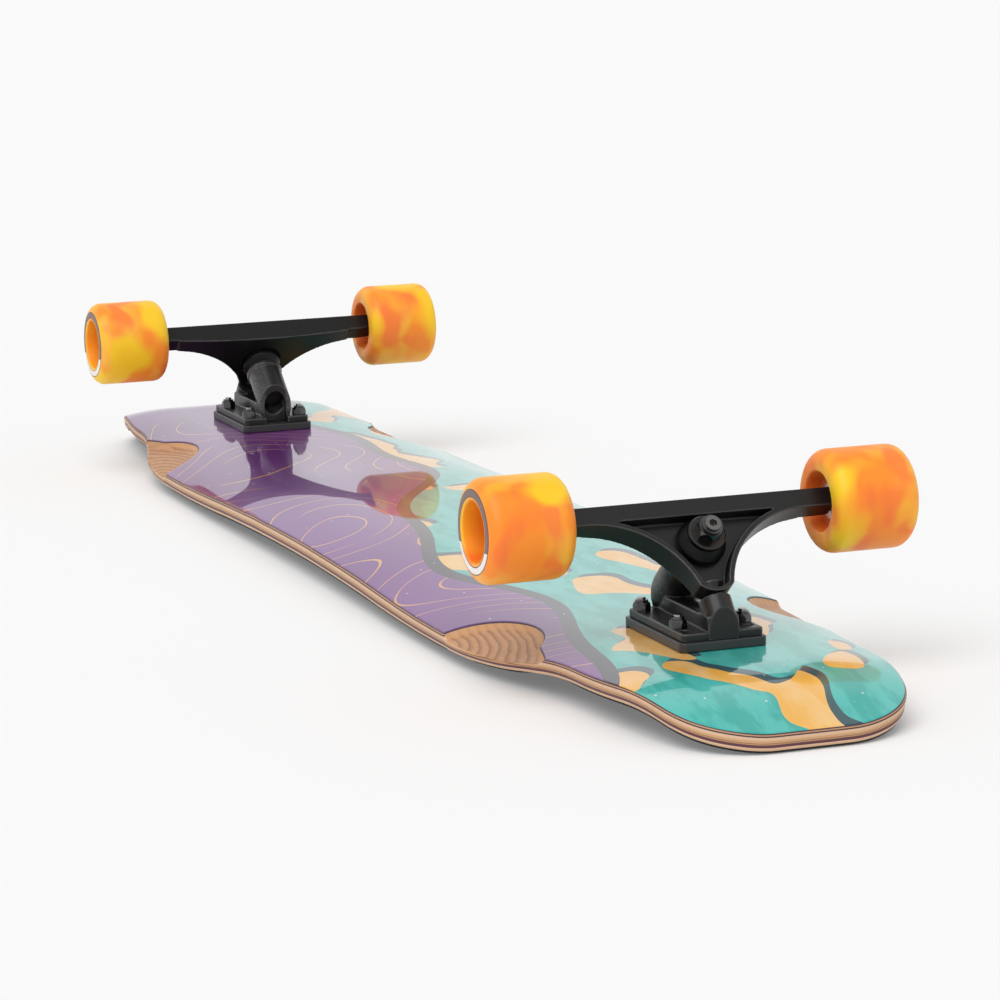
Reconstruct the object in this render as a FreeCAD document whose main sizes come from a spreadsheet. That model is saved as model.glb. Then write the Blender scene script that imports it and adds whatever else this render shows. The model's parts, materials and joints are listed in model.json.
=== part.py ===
import FreeCAD, Part
import math
import os
import re
import Sketcher

# A longboard lying wheels up: +X is the front end, +Z is up, the floor is Z = 0.
# Lengths are in millimetres and angles in degrees.

# Driving dimensions
SIZES = {
    # Deck plan
    "deck_length": 1192.0,
    "waist_width": 225.0,
    "flare_width": 230.0,
    "shoulder_length": 98.0,
    "end_length": 152.0,
    "end_width": 180.0,
    "end_side_radius": 450.0,
    "end_corner_radius": 56.0,
    # Deck section and side profile
    "deck_thickness": 10.6,
    "grip_thickness": 0.8,
    "grip_glue": 0.15,
    "grip_inset": 1.5,
    "concave_flat": 80.0,
    "concave_radius": 200.0,
    "rocker_rise": 5.5,
    "level_length": 160.0,
    "kick_length": 85.0,
    "kick_radius": 170.0,
    "kick_angle": 20.5,
    "rim_round": 2.0,
    # Wheel wells
    "well_setback": 231.5,
    "well_depth": 6.0,
    "well_radius": 51.0,
    "well_corner": 14.0,
    "well_lean_out": 19.0,
    "well_lean_in": 2.5,
    # Truck seat on the deck
    "front_setback": 171.0,
    "rear_setback": 183.0,
    "bolt_reach_in": 26.75,
    "hole_spacing_long": 54.0,
    "spare_hole_spacing": 63.5,
    "hole_spacing_wide": 41.3,
    "bolt_diameter": 4.8,
    "bolt_clearance": 0.2,
    "bolt_head_diameter": 9.2,
    "bolt_head_height": 3.0,
    "bolt_end": 1.5,
    "bolt_socket_flats": 3.0,
    "bolt_socket_depth": 1.8,
    "lock_nut_flats": 9.5,
    "lock_nut_height": 5.2,
    "lock_nut_collar": 1.4,
    "nut_shoulder": 0.8,
    "nut_room": 1.3,
    "riser_reach_in": 38.0,
    "riser_length": 86.5,
    "riser_width": 55.6,
    "riser_thickness": 6.0,
    "riser_corner": 4.0,
    "plate_reach_in": 35.5,
    "plate_length": 82.0,
    "plate_width": 52.0,
    "plate_thickness": 5.0,
    "plate_corner": 3.0,
    # Truck geometry
    "axle_height": 73.0,
    "kingpin_angle": 40.0,
    "kingpin_drop": 21.0,
    "pivot_reach": 61.0,
    "rake": 4.0,
    # Kingpin stack
    "kingpin_diameter": 9.5,
    "kingpin_flats": 14.3,
    "kingpin_head_height": 6.0,
    "kingpin_end": 1.6,
    "kingpin_socket": 4.6,
    "kingpin_nut_height": 7.0,
    "kingpin_collar": 2.2,
    "washer_radius": 11.5,
    "washer_thickness": 2.0,
    "washer_lip": 1.6,
    "bushing_height": 13.0,
    "bushing_radius": 15.0,
    "bushing_top_radius": 11.0,
    "bushing_bore_gap": 0.3,
    # Baseplate casting
    "tower_radius": 13.0,
    "tower_setback": 4.0,
    "tower_rim": 1.0,
    "tower_rim_height": 3.5,
    "tower_bore_gap": 0.15,
    "tower_depth": 22.0,
    "head_recess_gap": 0.6,
    "arch_foot_length": 9.0,
    "arch_foot_height": 12.0,
    "housing_radius": 9.9,
    "housing_foot_radius": 9.9,
    "housing_overhang": 1.0,
    "saddle_width": 20.0,
    "saddle_height": 9.0,
    # Pivot
    "pivot_ball_radius": 5.0,
    "pivot_gap": 0.08,
    "cup_wall": 2.5,
    "cup_mouth": 4.0,
    "cup_floor": 1.0,
    # Hanger casting
    "hanger_width": 180.0,
    "beam_height": 12.0,
    "beam_depth": 14.0,
    "web_thickness": 6.0,
    "hanger_back": 11.6,
    "beam_end_back": 5.7,
    "tip_taper_start": 28.0,
    "tip_back": 6.0,
    "arch_start": 70.0,
    "arch_radius": 61.0,
    "hanger_tip": 56.2,
    "tip_straight": 51.5,
    "pocket_wall": 3.4,
    "pocket_end": 53.8,
    "pocket_step": 1.0,
    "kingpin_hole": 8.0,
    "seat_gap": 0.7,
    "nose_start": 47.0,
    "nose_radius": 8.0,
    # Axle and bearings
    "axle_diameter": 8.0,
    "axle_length": 250.0,
    "axle_nut_flats": 13.0,
    "axle_nut_height": 6.6,
    "axle_nut_collar": 1.6,
    "speed_washer_radius": 6.2,
    "speed_washer_thickness": 1.0,
    "bearing_outer_radius": 11.0,
    "bearing_width": 7.0,
    "bearing_pitch_radius": 7.5,
    "bearing_ball_radius": 1.985,
    "bearing_race_gap": 0.05,
    "inner_ring_radius": 6.2,
    "outer_ring_bore": 8.8,
    "shield_thickness": 0.3,
    "shield_inset": 0.3,
    "shield_gap": 0.2,
    "cage_wall": 1.2,
    "cage_width": 4.8,
    "spacer_length": 10.0,
    "spacer_radius": 5.6,
    "seat_clearance": 0.02,
    # Wheels
    "tyre_diameter": 63.0,
    "tyre_width": 55.0,
    "tyre_offset": 7.5,
    "tyre_edge_radius": 8.5,
    "recess_radius": 18.5,
    "recess_edge_radius": 1.6,
    "core_radius": 16.0,
    "core_shoulder": 1.6,
}

BALLS_PER_BEARING = 7
FULL_TURN = 360.0
HALF_TURN = 180.0
QUARTER_TURN = 90.0
HEX_SIDES = 6
HEX_REACH = 1 / math.sqrt(3)
TOLERANCE = 0.01
RIM_SLOPE = 0.9
X_AXIS = FreeCAD.Vector(1, 0, 0)
Y_AXIS = FreeCAD.Vector(0, 1, 0)
Z_AXIS = FreeCAD.Vector(0, 0, 1)

doc = FreeCAD.newDocument("longboard")
sheet = doc.addObject("Spreadsheet::Sheet", "Sizes")
for row, (alias, value) in enumerate(SIZES.items(), start=1):
    sheet.set("A%d" % row, alias)
    sheet.set("B%d" % row, str(value))
    sheet.setAlias("B%d" % row, alias)
doc.recompute()

nodes = {}


def size(alias):
    return float(sheet.get(alias))


def bind(obj, prop, formula):
    obj.setExpression(prop, re.sub(r"[a-z][a-z_]+", lambda word: "Sizes." + word.group(0), formula))


def placed(x=0.0, y=0.0, z=0.0, axis=Z_AXIS, angle=0.0):
    return FreeCAD.Placement(FreeCAD.Vector(x, y, z), FreeCAD.Rotation(axis, angle))


def named(obj, label):
    obj.Label = label
    nodes[label] = obj
    return obj


# Building blocks bound to the sheet
def cylinder(radius, height, placement):
    obj = doc.addObject("Part::Cylinder", "Cylinder")
    bind(obj, "Radius", radius)
    bind(obj, "Height", height)
    obj.Placement = placement
    return obj


def cone(radius_low, radius_high, height, placement):
    obj = doc.addObject("Part::Cone", "Cone")
    bind(obj, "Radius1", radius_low)
    bind(obj, "Radius2", radius_high)
    bind(obj, "Height", height)
    obj.Placement = placement
    return obj


def box(length, width, height, placement):
    obj = doc.addObject("Part::Box", "Box")
    bind(obj, "Length", length)
    bind(obj, "Width", width)
    bind(obj, "Height", height)
    obj.Placement = placement
    return obj


def ball(radius, placement):
    obj = doc.addObject("Part::Sphere", "Sphere")
    bind(obj, "Radius", radius)
    obj.Placement = placement
    return obj


def ring_torus(pitch_radius, section_radius, placement):
    obj = doc.addObject("Part::Torus", "Torus")
    bind(obj, "Radius1", pitch_radius)
    bind(obj, "Radius2", section_radius)
    obj.Placement = placement
    return obj


def hexagon(flats, height, placement):
    obj = doc.addObject("Part::Prism", "Prism")
    obj.Polygon = HEX_SIDES
    bind(obj, "Circumradius", "%s * %.9f" % (flats, HEX_REACH))
    bind(obj, "Height", height)
    obj.Placement = placement
    return obj


def cut(base, tool):
    obj = doc.addObject("Part::Cut", "Cut")
    obj.Base = base
    obj.Tool = tool
    return obj


def fuse(*pieces):
    obj = doc.addObject("Part::MultiFuse", "Fuse")
    obj.Shapes = list(pieces)
    obj.Refine = True
    return obj


def common(*pieces):
    obj = doc.addObject("Part::MultiCommon", "Common")
    obj.Shapes = list(pieces)
    return obj


def group(label, pieces):
    obj = doc.addObject("Part::Compound", "Group")
    obj.Links = pieces
    return named(obj, label)


def ring(outer, inner, height, placement):
    return cut(cylinder(outer, height, placement), cylinder(inner, height, placement))


def rounded_plate(length, width, height, corner, placement):
    plate = box(length, width, height, placement)
    doc.recompute()
    upright = []
    for index, edge in enumerate(plate.Shape.Edges, start=1):
        low, high = edge.Vertexes[0].Point, edge.Vertexes[-1].Point
        if abs(low.z - high.z) > size(height) / 2:
            upright.append((index, size(corner), size(corner)))
    fillet = doc.addObject("Part::Fillet", "Corners")
    fillet.Base = plate
    fillet.Edges = upright
    return fillet


def plane_of(body, role):
    return [feature for feature in body.Origin.OriginFeatures if feature.Role == role][0]


# A turned piece: corners are (radius, station) formulas, turned about the piece's own Z axis
def turned(label, corners, placement, rounds=()):
    body = doc.addObject("PartDesign::Body", "Turned")
    sketch = body.newObject("Sketcher::SketchObject", "Profile")
    sketch.AttachmentSupport = [(plane_of(body, "XZ_Plane"), "")]
    sketch.MapMode = "FlatFace"
    start = [FreeCAD.Vector(worked_out(r), worked_out(s), 0) for r, s in corners]
    count = len(corners)
    for k in range(count):
        sketch.addGeometry(Part.LineSegment(start[k], start[(k + 1) % count]), False)
    for k in range(count):
        sketch.addConstraint(Sketcher.Constraint("Coincident", k, 2, (k + 1) % count, 1))
    for k, (radius, station) in enumerate(corners):
        across = sketch.addConstraint(Sketcher.Constraint("DistanceX", -1, 1, k, 1, start[k].x))
        bind(sketch, "Constraints[%d]" % across, radius)
        along = sketch.addConstraint(Sketcher.Constraint("DistanceY", -1, 1, k, 1, start[k].y))
        bind(sketch, "Constraints[%d]" % along, station)
    solid = body.newObject("PartDesign::Revolution", "Turn")
    solid.Profile = sketch
    solid.ReferenceAxis = (sketch, ["V_Axis"])
    solid.Angle = FULL_TURN
    for radius, station, rounding in rounds:
        doc.recompute()
        solid = rounded_rim(body, solid, worked_out(radius), worked_out(station), rounding)
    body.Tip = solid
    body.Placement = placement
    return named(body, label) if label else body


def worked_out(formula):
    names = re.findall(r"[a-z][a-z_]+", formula)
    for name in sorted(set(names), key=len, reverse=True):
        formula = re.sub(r"\b%s\b" % name, repr(size(name)), formula)
    return FreeCAD.Units.Quantity(formula).Value


def rounded_rim(body, base, radius, station, rounding):
    rims = []
    for index, edge in enumerate(base.Shape.Edges, start=1):
        circle = edge.Curve
        if not isinstance(circle, Part.Circle):
            continue
        off = abs(circle.Radius - radius) + abs(circle.Center.z - station)
        if off < TOLERANCE:
            rims.append("Edge%d" % index)
    fillet = body.newObject("PartDesign::Fillet", "Round")
    fillet.Base = (base, rims)
    bind(fillet, "Radius", rounding)
    return fillet


# Deck
half_length = size("deck_length") / 2
axle_reach = {1: half_length - size("front_setback"), -1: half_length - size("rear_setback")}
kick_start = half_length - size("kick_length")
rocker_reach = kick_start - size("level_length")
end_start = half_length - size("end_length")
shoulder_start = end_start - size("shoulder_length")
rail_edge = size("flare_width") / 2
kick_angle = math.radians(size("kick_angle"))
grip_top = size("deck_thickness") + size("grip_glue")
sheet_depth = grip_top + size("grip_thickness")
kick_bend = size("kick_radius") * math.sin(kick_angle)
kick_bend_drop = size("kick_radius") * (1 - math.cos(kick_angle))
kick_straight = size("kick_length") - kick_bend
tip_drop = kick_bend_drop + kick_straight * math.tan(kick_angle)

# Height of the deck's print face at the trucks, with the kicks' tips on the floor
face_height = tip_drop + sheet_depth / math.cos(kick_angle) - size("grip_inset") * math.tan(kick_angle)


def arc_edge(first, middle, last):
    return Part.Arc(first, middle, last).toShape()


def line_edge(first, last):
    return Part.LineSegment(first, last).toShape()


# Two equal arcs that step from one level to another, level at both ends
def step_arcs(start, end, point):
    run = end[0] - start[0]
    rise = end[1] - start[1]
    radius = (run * run + rise * rise) / (4 * abs(rise))
    half_turn = math.asin(run / 2 / radius) / 2
    along = radius * math.sin(half_turn)
    sagitta = math.copysign(radius * (1 - math.cos(half_turn)), rise)
    middle = point((start[0] + end[0]) / 2, (start[1] + end[1]) / 2)
    first = arc_edge(point(*start), point(start[0] + along, start[1] + sagitta), middle)
    second = arc_edge(middle, point(end[0] - along, end[1] - sagitta), point(*end))
    return [first, second]


def in_plan(x, y):
    return FreeCAD.Vector(x, y, 0)


def in_profile(x, z):
    return FreeCAD.Vector(x, 0, face_height + z)


def mirrored(edges, normal):
    return [edge.mirror(FreeCAD.Vector(0, 0, 0), normal) for edge in edges]


# Side profile of the print face, from the rear tip to the front tip and a little past both
def face_path():
    rise = size("rocker_rise")
    kick_radius = size("kick_radius")
    bend_end = in_profile(kick_start + kick_bend, -kick_bend_drop)
    half_kick = kick_angle / 2
    bend_middle = in_profile(
        kick_start + kick_radius * math.sin(half_kick),
        -kick_radius * (1 - math.cos(half_kick)),
    )
    run_out = kick_straight + sheet_depth
    tip = in_profile(
        kick_start + kick_bend + run_out,
        -kick_bend_drop - run_out * math.tan(kick_angle),
    )
    front = step_arcs((0, rise), (rocker_reach, 0), in_profile)
    front.append(line_edge(in_profile(rocker_reach, 0), in_profile(kick_start, 0)))
    front.append(arc_edge(in_profile(kick_start, 0), bend_middle, bend_end))
    front.append(line_edge(bend_end, tip))
    rear = mirrored(front, X_AXIS)
    return Part.Wire(Part.__sortEdges__(rear + front)), FreeCAD.Vector(-tip.x, 0, tip.z)


# Cross-section of a pressed layer between two depths below the print face
def layer_section(start, depth_top, depth_bottom, half_width):
    flat = size("concave_flat") / 2
    radius = size("concave_radius")
    sweep = math.asin((half_width - flat) / radius)
    across = Y_AXIS
    normal = FreeCAD.Vector(-math.sin(kick_angle), 0, math.cos(kick_angle))

    def point(side, depth, angle):
        y = side * (flat + (radius - depth) * math.sin(angle))
        n = -radius + (radius - depth) * math.cos(angle)
        return start + across * y + normal * n

    def bend(side, depth):
        return arc_edge(
            point(side, depth, sweep), point(side, depth, sweep / 2), point(side, depth, 0)
        )

    edges = []
    for depth in (depth_top, depth_bottom):
        edges.append(bend(-1, depth))
        edges.append(line_edge(point(-1, depth, 0), point(1, depth, 0)))
        edges.append(bend(1, depth))
    for side in (-1, 1):
        edges.append(line_edge(point(side, depth_top, sweep), point(side, depth_bottom, sweep)))
    return Part.Wire(Part.__sortEdges__(edges))


# Plan of the deck: waist, flare, shoulder, narrow end and blunt tip
def plan_prism(inset):
    waist = size("waist_width") / 2
    end = size("end_width") / 2
    side_radius = size("end_side_radius")
    corner_radius = size("end_corner_radius")
    corner_x = half_length - corner_radius
    inner = side_radius - corner_radius
    corner_y = end - side_radius + math.sqrt(inner ** 2 - (corner_x - end_start) ** 2)
    turn = math.asin((corner_x - end_start) / inner)

    def on_side(angle):
        return in_plan(
            end_start + side_radius * math.sin(angle),
            end - side_radius + side_radius * math.cos(angle),
        )

    def on_corner(angle):
        return in_plan(
            corner_x + corner_radius * math.sin(angle),
            corner_y + corner_radius * math.cos(angle),
        )

    quarter_turn = math.pi / 2
    quarter = step_arcs((0, waist), (shoulder_start, rail_edge), in_plan)
    quarter += step_arcs((shoulder_start, rail_edge), (end_start, end), in_plan)
    quarter.append(arc_edge(on_side(0), on_side(turn / 2), on_side(turn)))
    corner_middle = (turn + quarter_turn) / 2
    quarter.append(arc_edge(on_corner(turn), on_corner(corner_middle), on_corner(quarter_turn)))
    tip = line_edge(in_plan(half_length, corner_y), in_plan(half_length, -corner_y))
    front = quarter + mirrored(quarter, Y_AXIS) + [tip]
    outline = Part.Wire(Part.__sortEdges__(front + mirrored(front, X_AXIS)))
    plan = Part.Face(outline.makeOffset2D(-inset) if inset else outline)
    return plan.extrude(FreeCAD.Vector(0, 0, face_height + size("axle_height")))


def pressed_layer(depth_top, depth_bottom, inset):
    path, start = face_path()
    half_width = rail_edge + sheet_depth
    section = layer_section(start, depth_top, depth_bottom, half_width)
    blank = path.makePipeShell([section], True, False)
    return blank.common(plan_prism(inset))


def rim_edges(solid):
    found = []
    for face in solid.Faces:
        low, high, left, right = face.ParameterRange
        normal = face.normalAt((low + high) / 2, (left + right) / 2)
        if abs(normal.z) < TOLERANCE:
            found += [edge for edge in face.Edges if edge.BoundBox.ZLength < edge.Length * RIM_SLOPE]
    unique = []
    for edge in found:
        if not any(edge.isSame(other) for other in unique):
            unique.append(edge)
    return unique


def truck_placement(end):
    turn = 0.0 if end > 0 else HALF_TURN
    return placed(end * axle_reach[end], 0, face_height, Z_AXIS, turn)


def concave_drop(offset):
    beyond = max(offset - size("concave_flat") / 2, 0.0)
    radius = size("concave_radius")
    return radius - math.sqrt(radius ** 2 - beyond ** 2)


# The round cutter of one wheel well, leaning out with the concave and in towards the middle
def well_cutter(end, side):
    floor = placed(
        end * (half_length - size("well_setback")),
        side * rail_edge,
        face_height - concave_drop(rail_edge) - size("well_depth"),
    )
    lean_out = placed(axis=X_AXIS, angle=-side * size("well_lean_out"))
    lean_in = placed(axis=Y_AXIS, angle=-end * size("well_lean_in"))
    tool = Part.makeCylinder(size("well_radius"), size("axle_height"))
    bottom = [edge for edge in tool.Edges if edge.BoundBox.ZMax < TOLERANCE]
    tool = tool.makeFillet(size("well_corner"), bottom)
    tool.Placement = floor.multiply(lean_out).multiply(lean_in)
    return tool


def bolt_places():
    places = []
    for spacing in (0.0, size("hole_spacing_long")):
        for across in (-1, 1):
            places.append((spacing - size("bolt_reach_in"), across * size("hole_spacing_wide") / 2))
    return places


# The casting's two further holes, for the longer of the two standard bolt spacings
def spare_places():
    u = size("spare_hole_spacing") - size("bolt_reach_in")
    return [(u, across * size("hole_spacing_wide") / 2) for across in (-1, 1)]


# Straight holes and countersinks of the mounting bolts through the deck and the tape
def bolt_hole_tools():
    hole_radius = size("bolt_diameter") / 2 + size("bolt_clearance")
    head_radius = size("bolt_head_diameter") / 2 + size("bolt_clearance")
    head_height = size("bolt_head_height")
    tools = []
    for end in (1, -1):
        for u, y in bolt_places():
            spot = truck_placement(end).multiply(placed(u, y, -sheet_depth))
            shank = Part.makeCylinder(hole_radius, 2 * sheet_depth)
            head = Part.makeCone(head_radius, hole_radius, head_height)
            tool = shank.fuse(head)
            tool.Placement = spot
            tools.append(tool)
    return tools


def made_shape(label, shape):
    obj = doc.addObject("Part::Feature", "Shaped")
    obj.Shape = shape
    return named(obj, label)


deck_shape = pressed_layer(0.0, size("deck_thickness"), 0.0)
deck_shape = deck_shape.makeFillet(size("rim_round"), rim_edges(deck_shape))
for board_end in (1, -1):
    for board_side in (1, -1):
        deck_shape = deck_shape.cut(well_cutter(board_end, board_side))
for hole_tool in bolt_hole_tools():
    deck_shape = deck_shape.cut(hole_tool)
made_shape("deck", deck_shape)

tape_shape = pressed_layer(grip_top, sheet_depth, size("grip_inset"))
for hole_tool in bolt_hole_tools():
    tape_shape = tape_shape.cut(hole_tool)
made_shape("grip_tape", tape_shape)


# Frames of one truck. The hanger frame has X along the steering axis towards the pivot,
# Y across the board and Z along the kingpin towards its nut, with its origin on the axle.
def hanger_frame(end):
    lean = QUARTER_TURN - size("kingpin_angle")
    return truck_placement(end).multiply(placed(z=size("axle_height"), axis=Y_AXIS, angle=lean))


def kingpin_frame(end, station):
    return hanger_frame(end).multiply(placed(size("kingpin_drop"), 0, station))


def pivot_frame(end, reach):
    return hanger_frame(end).multiply(placed(reach, 0, -size("rake"), Y_AXIS, QUARTER_TURN))


# Z runs outwards along the axle, on the board's left (-1) or right (+1) side
def axle_frame(end, side, station):
    outward = side * end
    spot = placed(y=outward * station, axis=X_AXIS, angle=-QUARTER_TURN * outward)
    return hanger_frame(end).multiply(spot)


# Stations along the kingpin, counted from the axle towards the nut
web_low = -size("rake") - size("web_thickness") / 2
web_high = -size("rake") + size("web_thickness") / 2
washer_high = web_high + size("bushing_height")
nut_low = washer_high + size("washer_thickness")
nut_high = nut_low + size("kingpin_nut_height")
washer_low = web_low - size("bushing_height") - size("washer_thickness")
head_high = washer_low - size("tower_depth")
head_low = head_high - size("kingpin_head_height")

# Stations along the axle, counted from the board's centre line
hanger_end = size("hanger_width") / 2
inner_bearing = hanger_end + size("speed_washer_thickness")
spacer_start = inner_bearing + size("bearing_width")
outer_bearing = spacer_start + size("spacer_length")
outer_washer = outer_bearing + size("bearing_width")
axle_nut_start = outer_washer + size("speed_washer_thickness")


def make_riser(end, name):
    corner = truck_placement(end).multiply(
        placed(-size("riser_reach_in"), -size("riser_width") / 2, 0)
    )
    pad = rounded_plate("riser_length", "riser_width", "riser_thickness", "riser_corner", corner)
    for u, y in bolt_places():
        spot = truck_placement(end).multiply(placed(u, y, 0))
        pad = cut(pad, cylinder("bolt_diameter / 2 + bolt_clearance", "riser_thickness", spot))
    named(pad, name + "_riser_pad")


def make_bolts(end, name):
    under_nut = size("riser_thickness") + size("plate_thickness")
    bolts = []
    nuts = []
    for u, y in bolt_places():
        low = truck_placement(end).multiply(placed(u, y, -sheet_depth))
        reach = "deck_thickness + grip_glue + grip_thickness + riser_thickness + plate_thickness"
        reach += " + lock_nut_height + lock_nut_collar + bolt_end"
        shank = cylinder("bolt_diameter / 2", reach, low)
        head = cone("bolt_head_diameter / 2", "bolt_diameter / 2", "bolt_head_height", low)
        socket = hexagon("bolt_socket_flats", "bolt_socket_depth", low)
        bolts.append(cut(fuse(shank, head), socket))
        seat = truck_placement(end).multiply(placed(u, y, under_nut))
        nuts.append(lock_nut("lock_nut_flats", "lock_nut_height", "lock_nut_collar", "bolt_diameter", seat))
    group(name + "_mounting_bolts", bolts)
    group(name + "_mounting_nuts", nuts)


# A hex nut with chamfered corners and a round locking collar
def lock_nut(flats, height, collar, bore, seat):
    prism = hexagon(flats, height, seat)
    chamfer = cone("%s * 2 / 3" % flats, "%s / 2" % flats, height, seat)
    crown = seat.multiply(placed(z=size(height)))
    ring_part = cylinder("%s / 2 - nut_shoulder" % flats, collar, crown)
    hole = cylinder("%s / 2 + seat_clearance" % bore, "%s + %s" % (height, collar), seat)
    return cut(fuse(common(prism, chamfer), ring_part), hole)


def make_baseplate(end, name):
    truck = truck_placement(end)
    plate_low = size("riser_thickness")
    plate_top = plate_low + size("plate_thickness")
    plate_inner = -size("plate_reach_in")
    corner = truck.multiply(placed(plate_inner, -size("plate_width") / 2, plate_low))
    plate = rounded_plate("plate_length", "plate_width", "plate_thickness", "plate_corner", corner)

    reach = "axle_height * 2"
    tower_turn = placed(axis=X_AXIS, angle=HALF_TURN)
    tower_top = kingpin_frame(end, washer_low)
    tower = cylinder("tower_radius", reach, tower_top.multiply(tower_turn))
    rim = cylinder("tower_radius + tower_rim", "tower_rim_height", tower_top.multiply(tower_turn))
    mouth = size("pivot_reach") - size("cup_mouth")
    housing = cylinder("housing_radius", reach, pivot_frame(end, mouth))
    foot_spot = truck.multiply(placed(0, 0, plate_top, Y_AXIS, QUARTER_TURN))
    foot = cylinder("housing_foot_radius", "plate_length", foot_spot)
    saddle_spot = truck.multiply(placed(plate_inner, -size("saddle_width") / 2, plate_low))
    saddle = box("plate_length", "saddle_width", "plate_thickness + saddle_height", saddle_spot)
    casting = fuse(tower, rim, housing, foot, saddle)
    room_inner = plate_inner + size("tower_setback")
    room_spot = truck.multiply(placed(room_inner, -size("plate_width") / 2, plate_low))
    room_length = "plate_length - tower_setback + housing_overhang"
    room = box(room_length, "plate_width", "axle_height", room_spot)
    casting = fuse(plate, common(casting, room))

    kingpin_bore = kingpin_frame(end, head_low)
    casting = cut(casting, cylinder("kingpin_diameter / 2 + tower_bore_gap", reach, kingpin_bore))
    head_turn = kingpin_frame(end, head_high).multiply(tower_turn)
    head_radius = "kingpin_flats * %.9f + head_recess_gap" % HEX_REACH
    casting = cut(casting, cylinder(head_radius, reach, head_turn))
    arch_half = worked_out(head_radius)
    arch_spot = truck.multiply(placed(plate_inner, -arch_half, plate_low))
    arch_foot = box("arch_foot_length", "2 * (%s)" % head_radius, "arch_foot_height", arch_spot)
    casting = cut(casting, arch_foot)
    cup_bore = "pivot_ball_radius + pivot_gap + cup_wall + seat_clearance"
    cup_depth = "cup_mouth + pivot_ball_radius + pivot_gap + cup_floor"
    casting = cut(casting, cylinder(cup_bore, cup_depth, pivot_frame(end, mouth)))
    for u, y in bolt_places() + spare_places():
        spot = truck.multiply(placed(u, y, plate_low))
        casting = cut(casting, cylinder("bolt_diameter / 2 + bolt_clearance", "plate_thickness", spot))
    for u, y in bolt_places():
        clear = truck.multiply(placed(u, y, plate_top))
        nut_radius = "lock_nut_flats * %.9f + nut_room" % HEX_REACH
        casting = cut(casting, cylinder(nut_radius, "axle_height", clear))
    named(casting, name + "_baseplate")

    cup = cylinder("pivot_ball_radius + pivot_gap + cup_wall", cup_depth, pivot_frame(end, mouth))
    entry = cylinder("pivot_ball_radius + pivot_gap", "cup_mouth", pivot_frame(end, mouth))
    hollow = ball("pivot_ball_radius + pivot_gap", pivot_frame(end, size("pivot_reach")))
    named(cut(cut(cup, entry), hollow), name + "_pivot_cup")


def make_kingpin(end, name):
    shank_length = nut_high + size("kingpin_collar") + size("kingpin_end") - head_low
    shank = doc.addObject("Part::Cylinder", "Shank")
    bind(shank, "Radius", "kingpin_diameter / 2")
    shank.Height = shank_length
    shank.Placement = kingpin_frame(end, head_low)
    head = hexagon("kingpin_flats", "kingpin_head_height", kingpin_frame(end, head_low))
    tip = head_low + shank_length
    socket_low = kingpin_frame(end, tip - size("kingpin_nut_height") / 2)
    socket = hexagon("kingpin_socket", "kingpin_nut_height / 2", socket_low)
    named(cut(fuse(shank, head), socket), name + "_kingpin")
    seat = kingpin_frame(end, nut_low)
    nut = lock_nut("kingpin_flats", "kingpin_nut_height", "kingpin_collar", "kingpin_diameter", seat)
    named(nut, name + "_kingpin_nut")

    bore = "kingpin_diameter / 2 + seat_clearance"
    cup_corners = [
        (bore, "0"),
        ("washer_radius - washer_thickness", "0"),
        ("washer_radius - washer_thickness", "0 - washer_lip"),
        ("washer_radius", "0 - washer_lip"),
        ("washer_radius", "washer_thickness / 2"),
        ("washer_radius - washer_thickness / 2", "washer_thickness"),
        (bore, "washer_thickness"),
    ]
    upper = turned("", cup_corners, kingpin_frame(end, washer_high))
    flat_corners = [
        (bore, "0"),
        ("washer_radius", "0"),
        ("washer_radius", "washer_thickness"),
        (bore, "washer_thickness"),
    ]
    lower = turned("", flat_corners, kingpin_frame(end, washer_low))
    group(name + "_cup_washers", [upper, lower])

    bushing_bore = "kingpin_diameter / 2 + bushing_bore_gap"
    inside_lip = "washer_radius - washer_thickness - bushing_bore_gap"
    road_corners = [
        (bushing_bore, "0"),
        ("bushing_radius", "0"),
        ("bushing_radius", "bushing_height / 3"),
        (inside_lip, "bushing_height - washer_lip - bushing_bore_gap"),
        (inside_lip, "bushing_height"),
        (bushing_bore, "bushing_height"),
    ]
    turned(name + "_roadside_bushing", road_corners, kingpin_frame(end, web_high))
    board_corners = [
        (bushing_bore, "0"),
        ("bushing_top_radius", "0"),
        ("bushing_radius", "bushing_height / 3"),
        ("bushing_radius", "bushing_height"),
        (bushing_bore, "bushing_height"),
    ]
    board_seat = kingpin_frame(end, washer_low + size("washer_thickness"))
    turned(name + "_boardside_bushing", board_corners, board_seat)


# Hanger outline in its own frame: beam on top, two arches and a blunt tip
def hanger_outline(offset, top, tip_level):
    start = size("arch_start")
    radius = size("arch_radius") + offset
    level = size("beam_height") / 2 + size("arch_radius")

    def on_arch(side, reach):
        return FreeCAD.Vector(reach, side * (start - math.sqrt(radius ** 2 - (level - reach) ** 2)), 0)

    first = max(top, level - radius)
    straight = tip_level[0]
    edges = []
    for side in (-1, 1):
        middle = (first + straight) / 2
        edges.append(arc_edge(on_arch(side, first), on_arch(side, middle), on_arch(side, straight)))
    tip = FreeCAD.Vector(tip_level[1], 0, 0)
    edges.append(arc_edge(on_arch(-1, straight), tip, on_arch(1, straight)))
    left = on_arch(-1, first)
    right = on_arch(1, first)
    if first > top:
        left_top = FreeCAD.Vector(top, left.y, 0)
        right_top = FreeCAD.Vector(top, right.y, 0)
        edges.append(line_edge(left, left_top))
        edges.append(line_edge(right, right_top))
        left, right = left_top, right_top
    edges.append(line_edge(left, right))
    return Part.Face(Part.Wire(Part.__sortEdges__(edges)))


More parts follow.
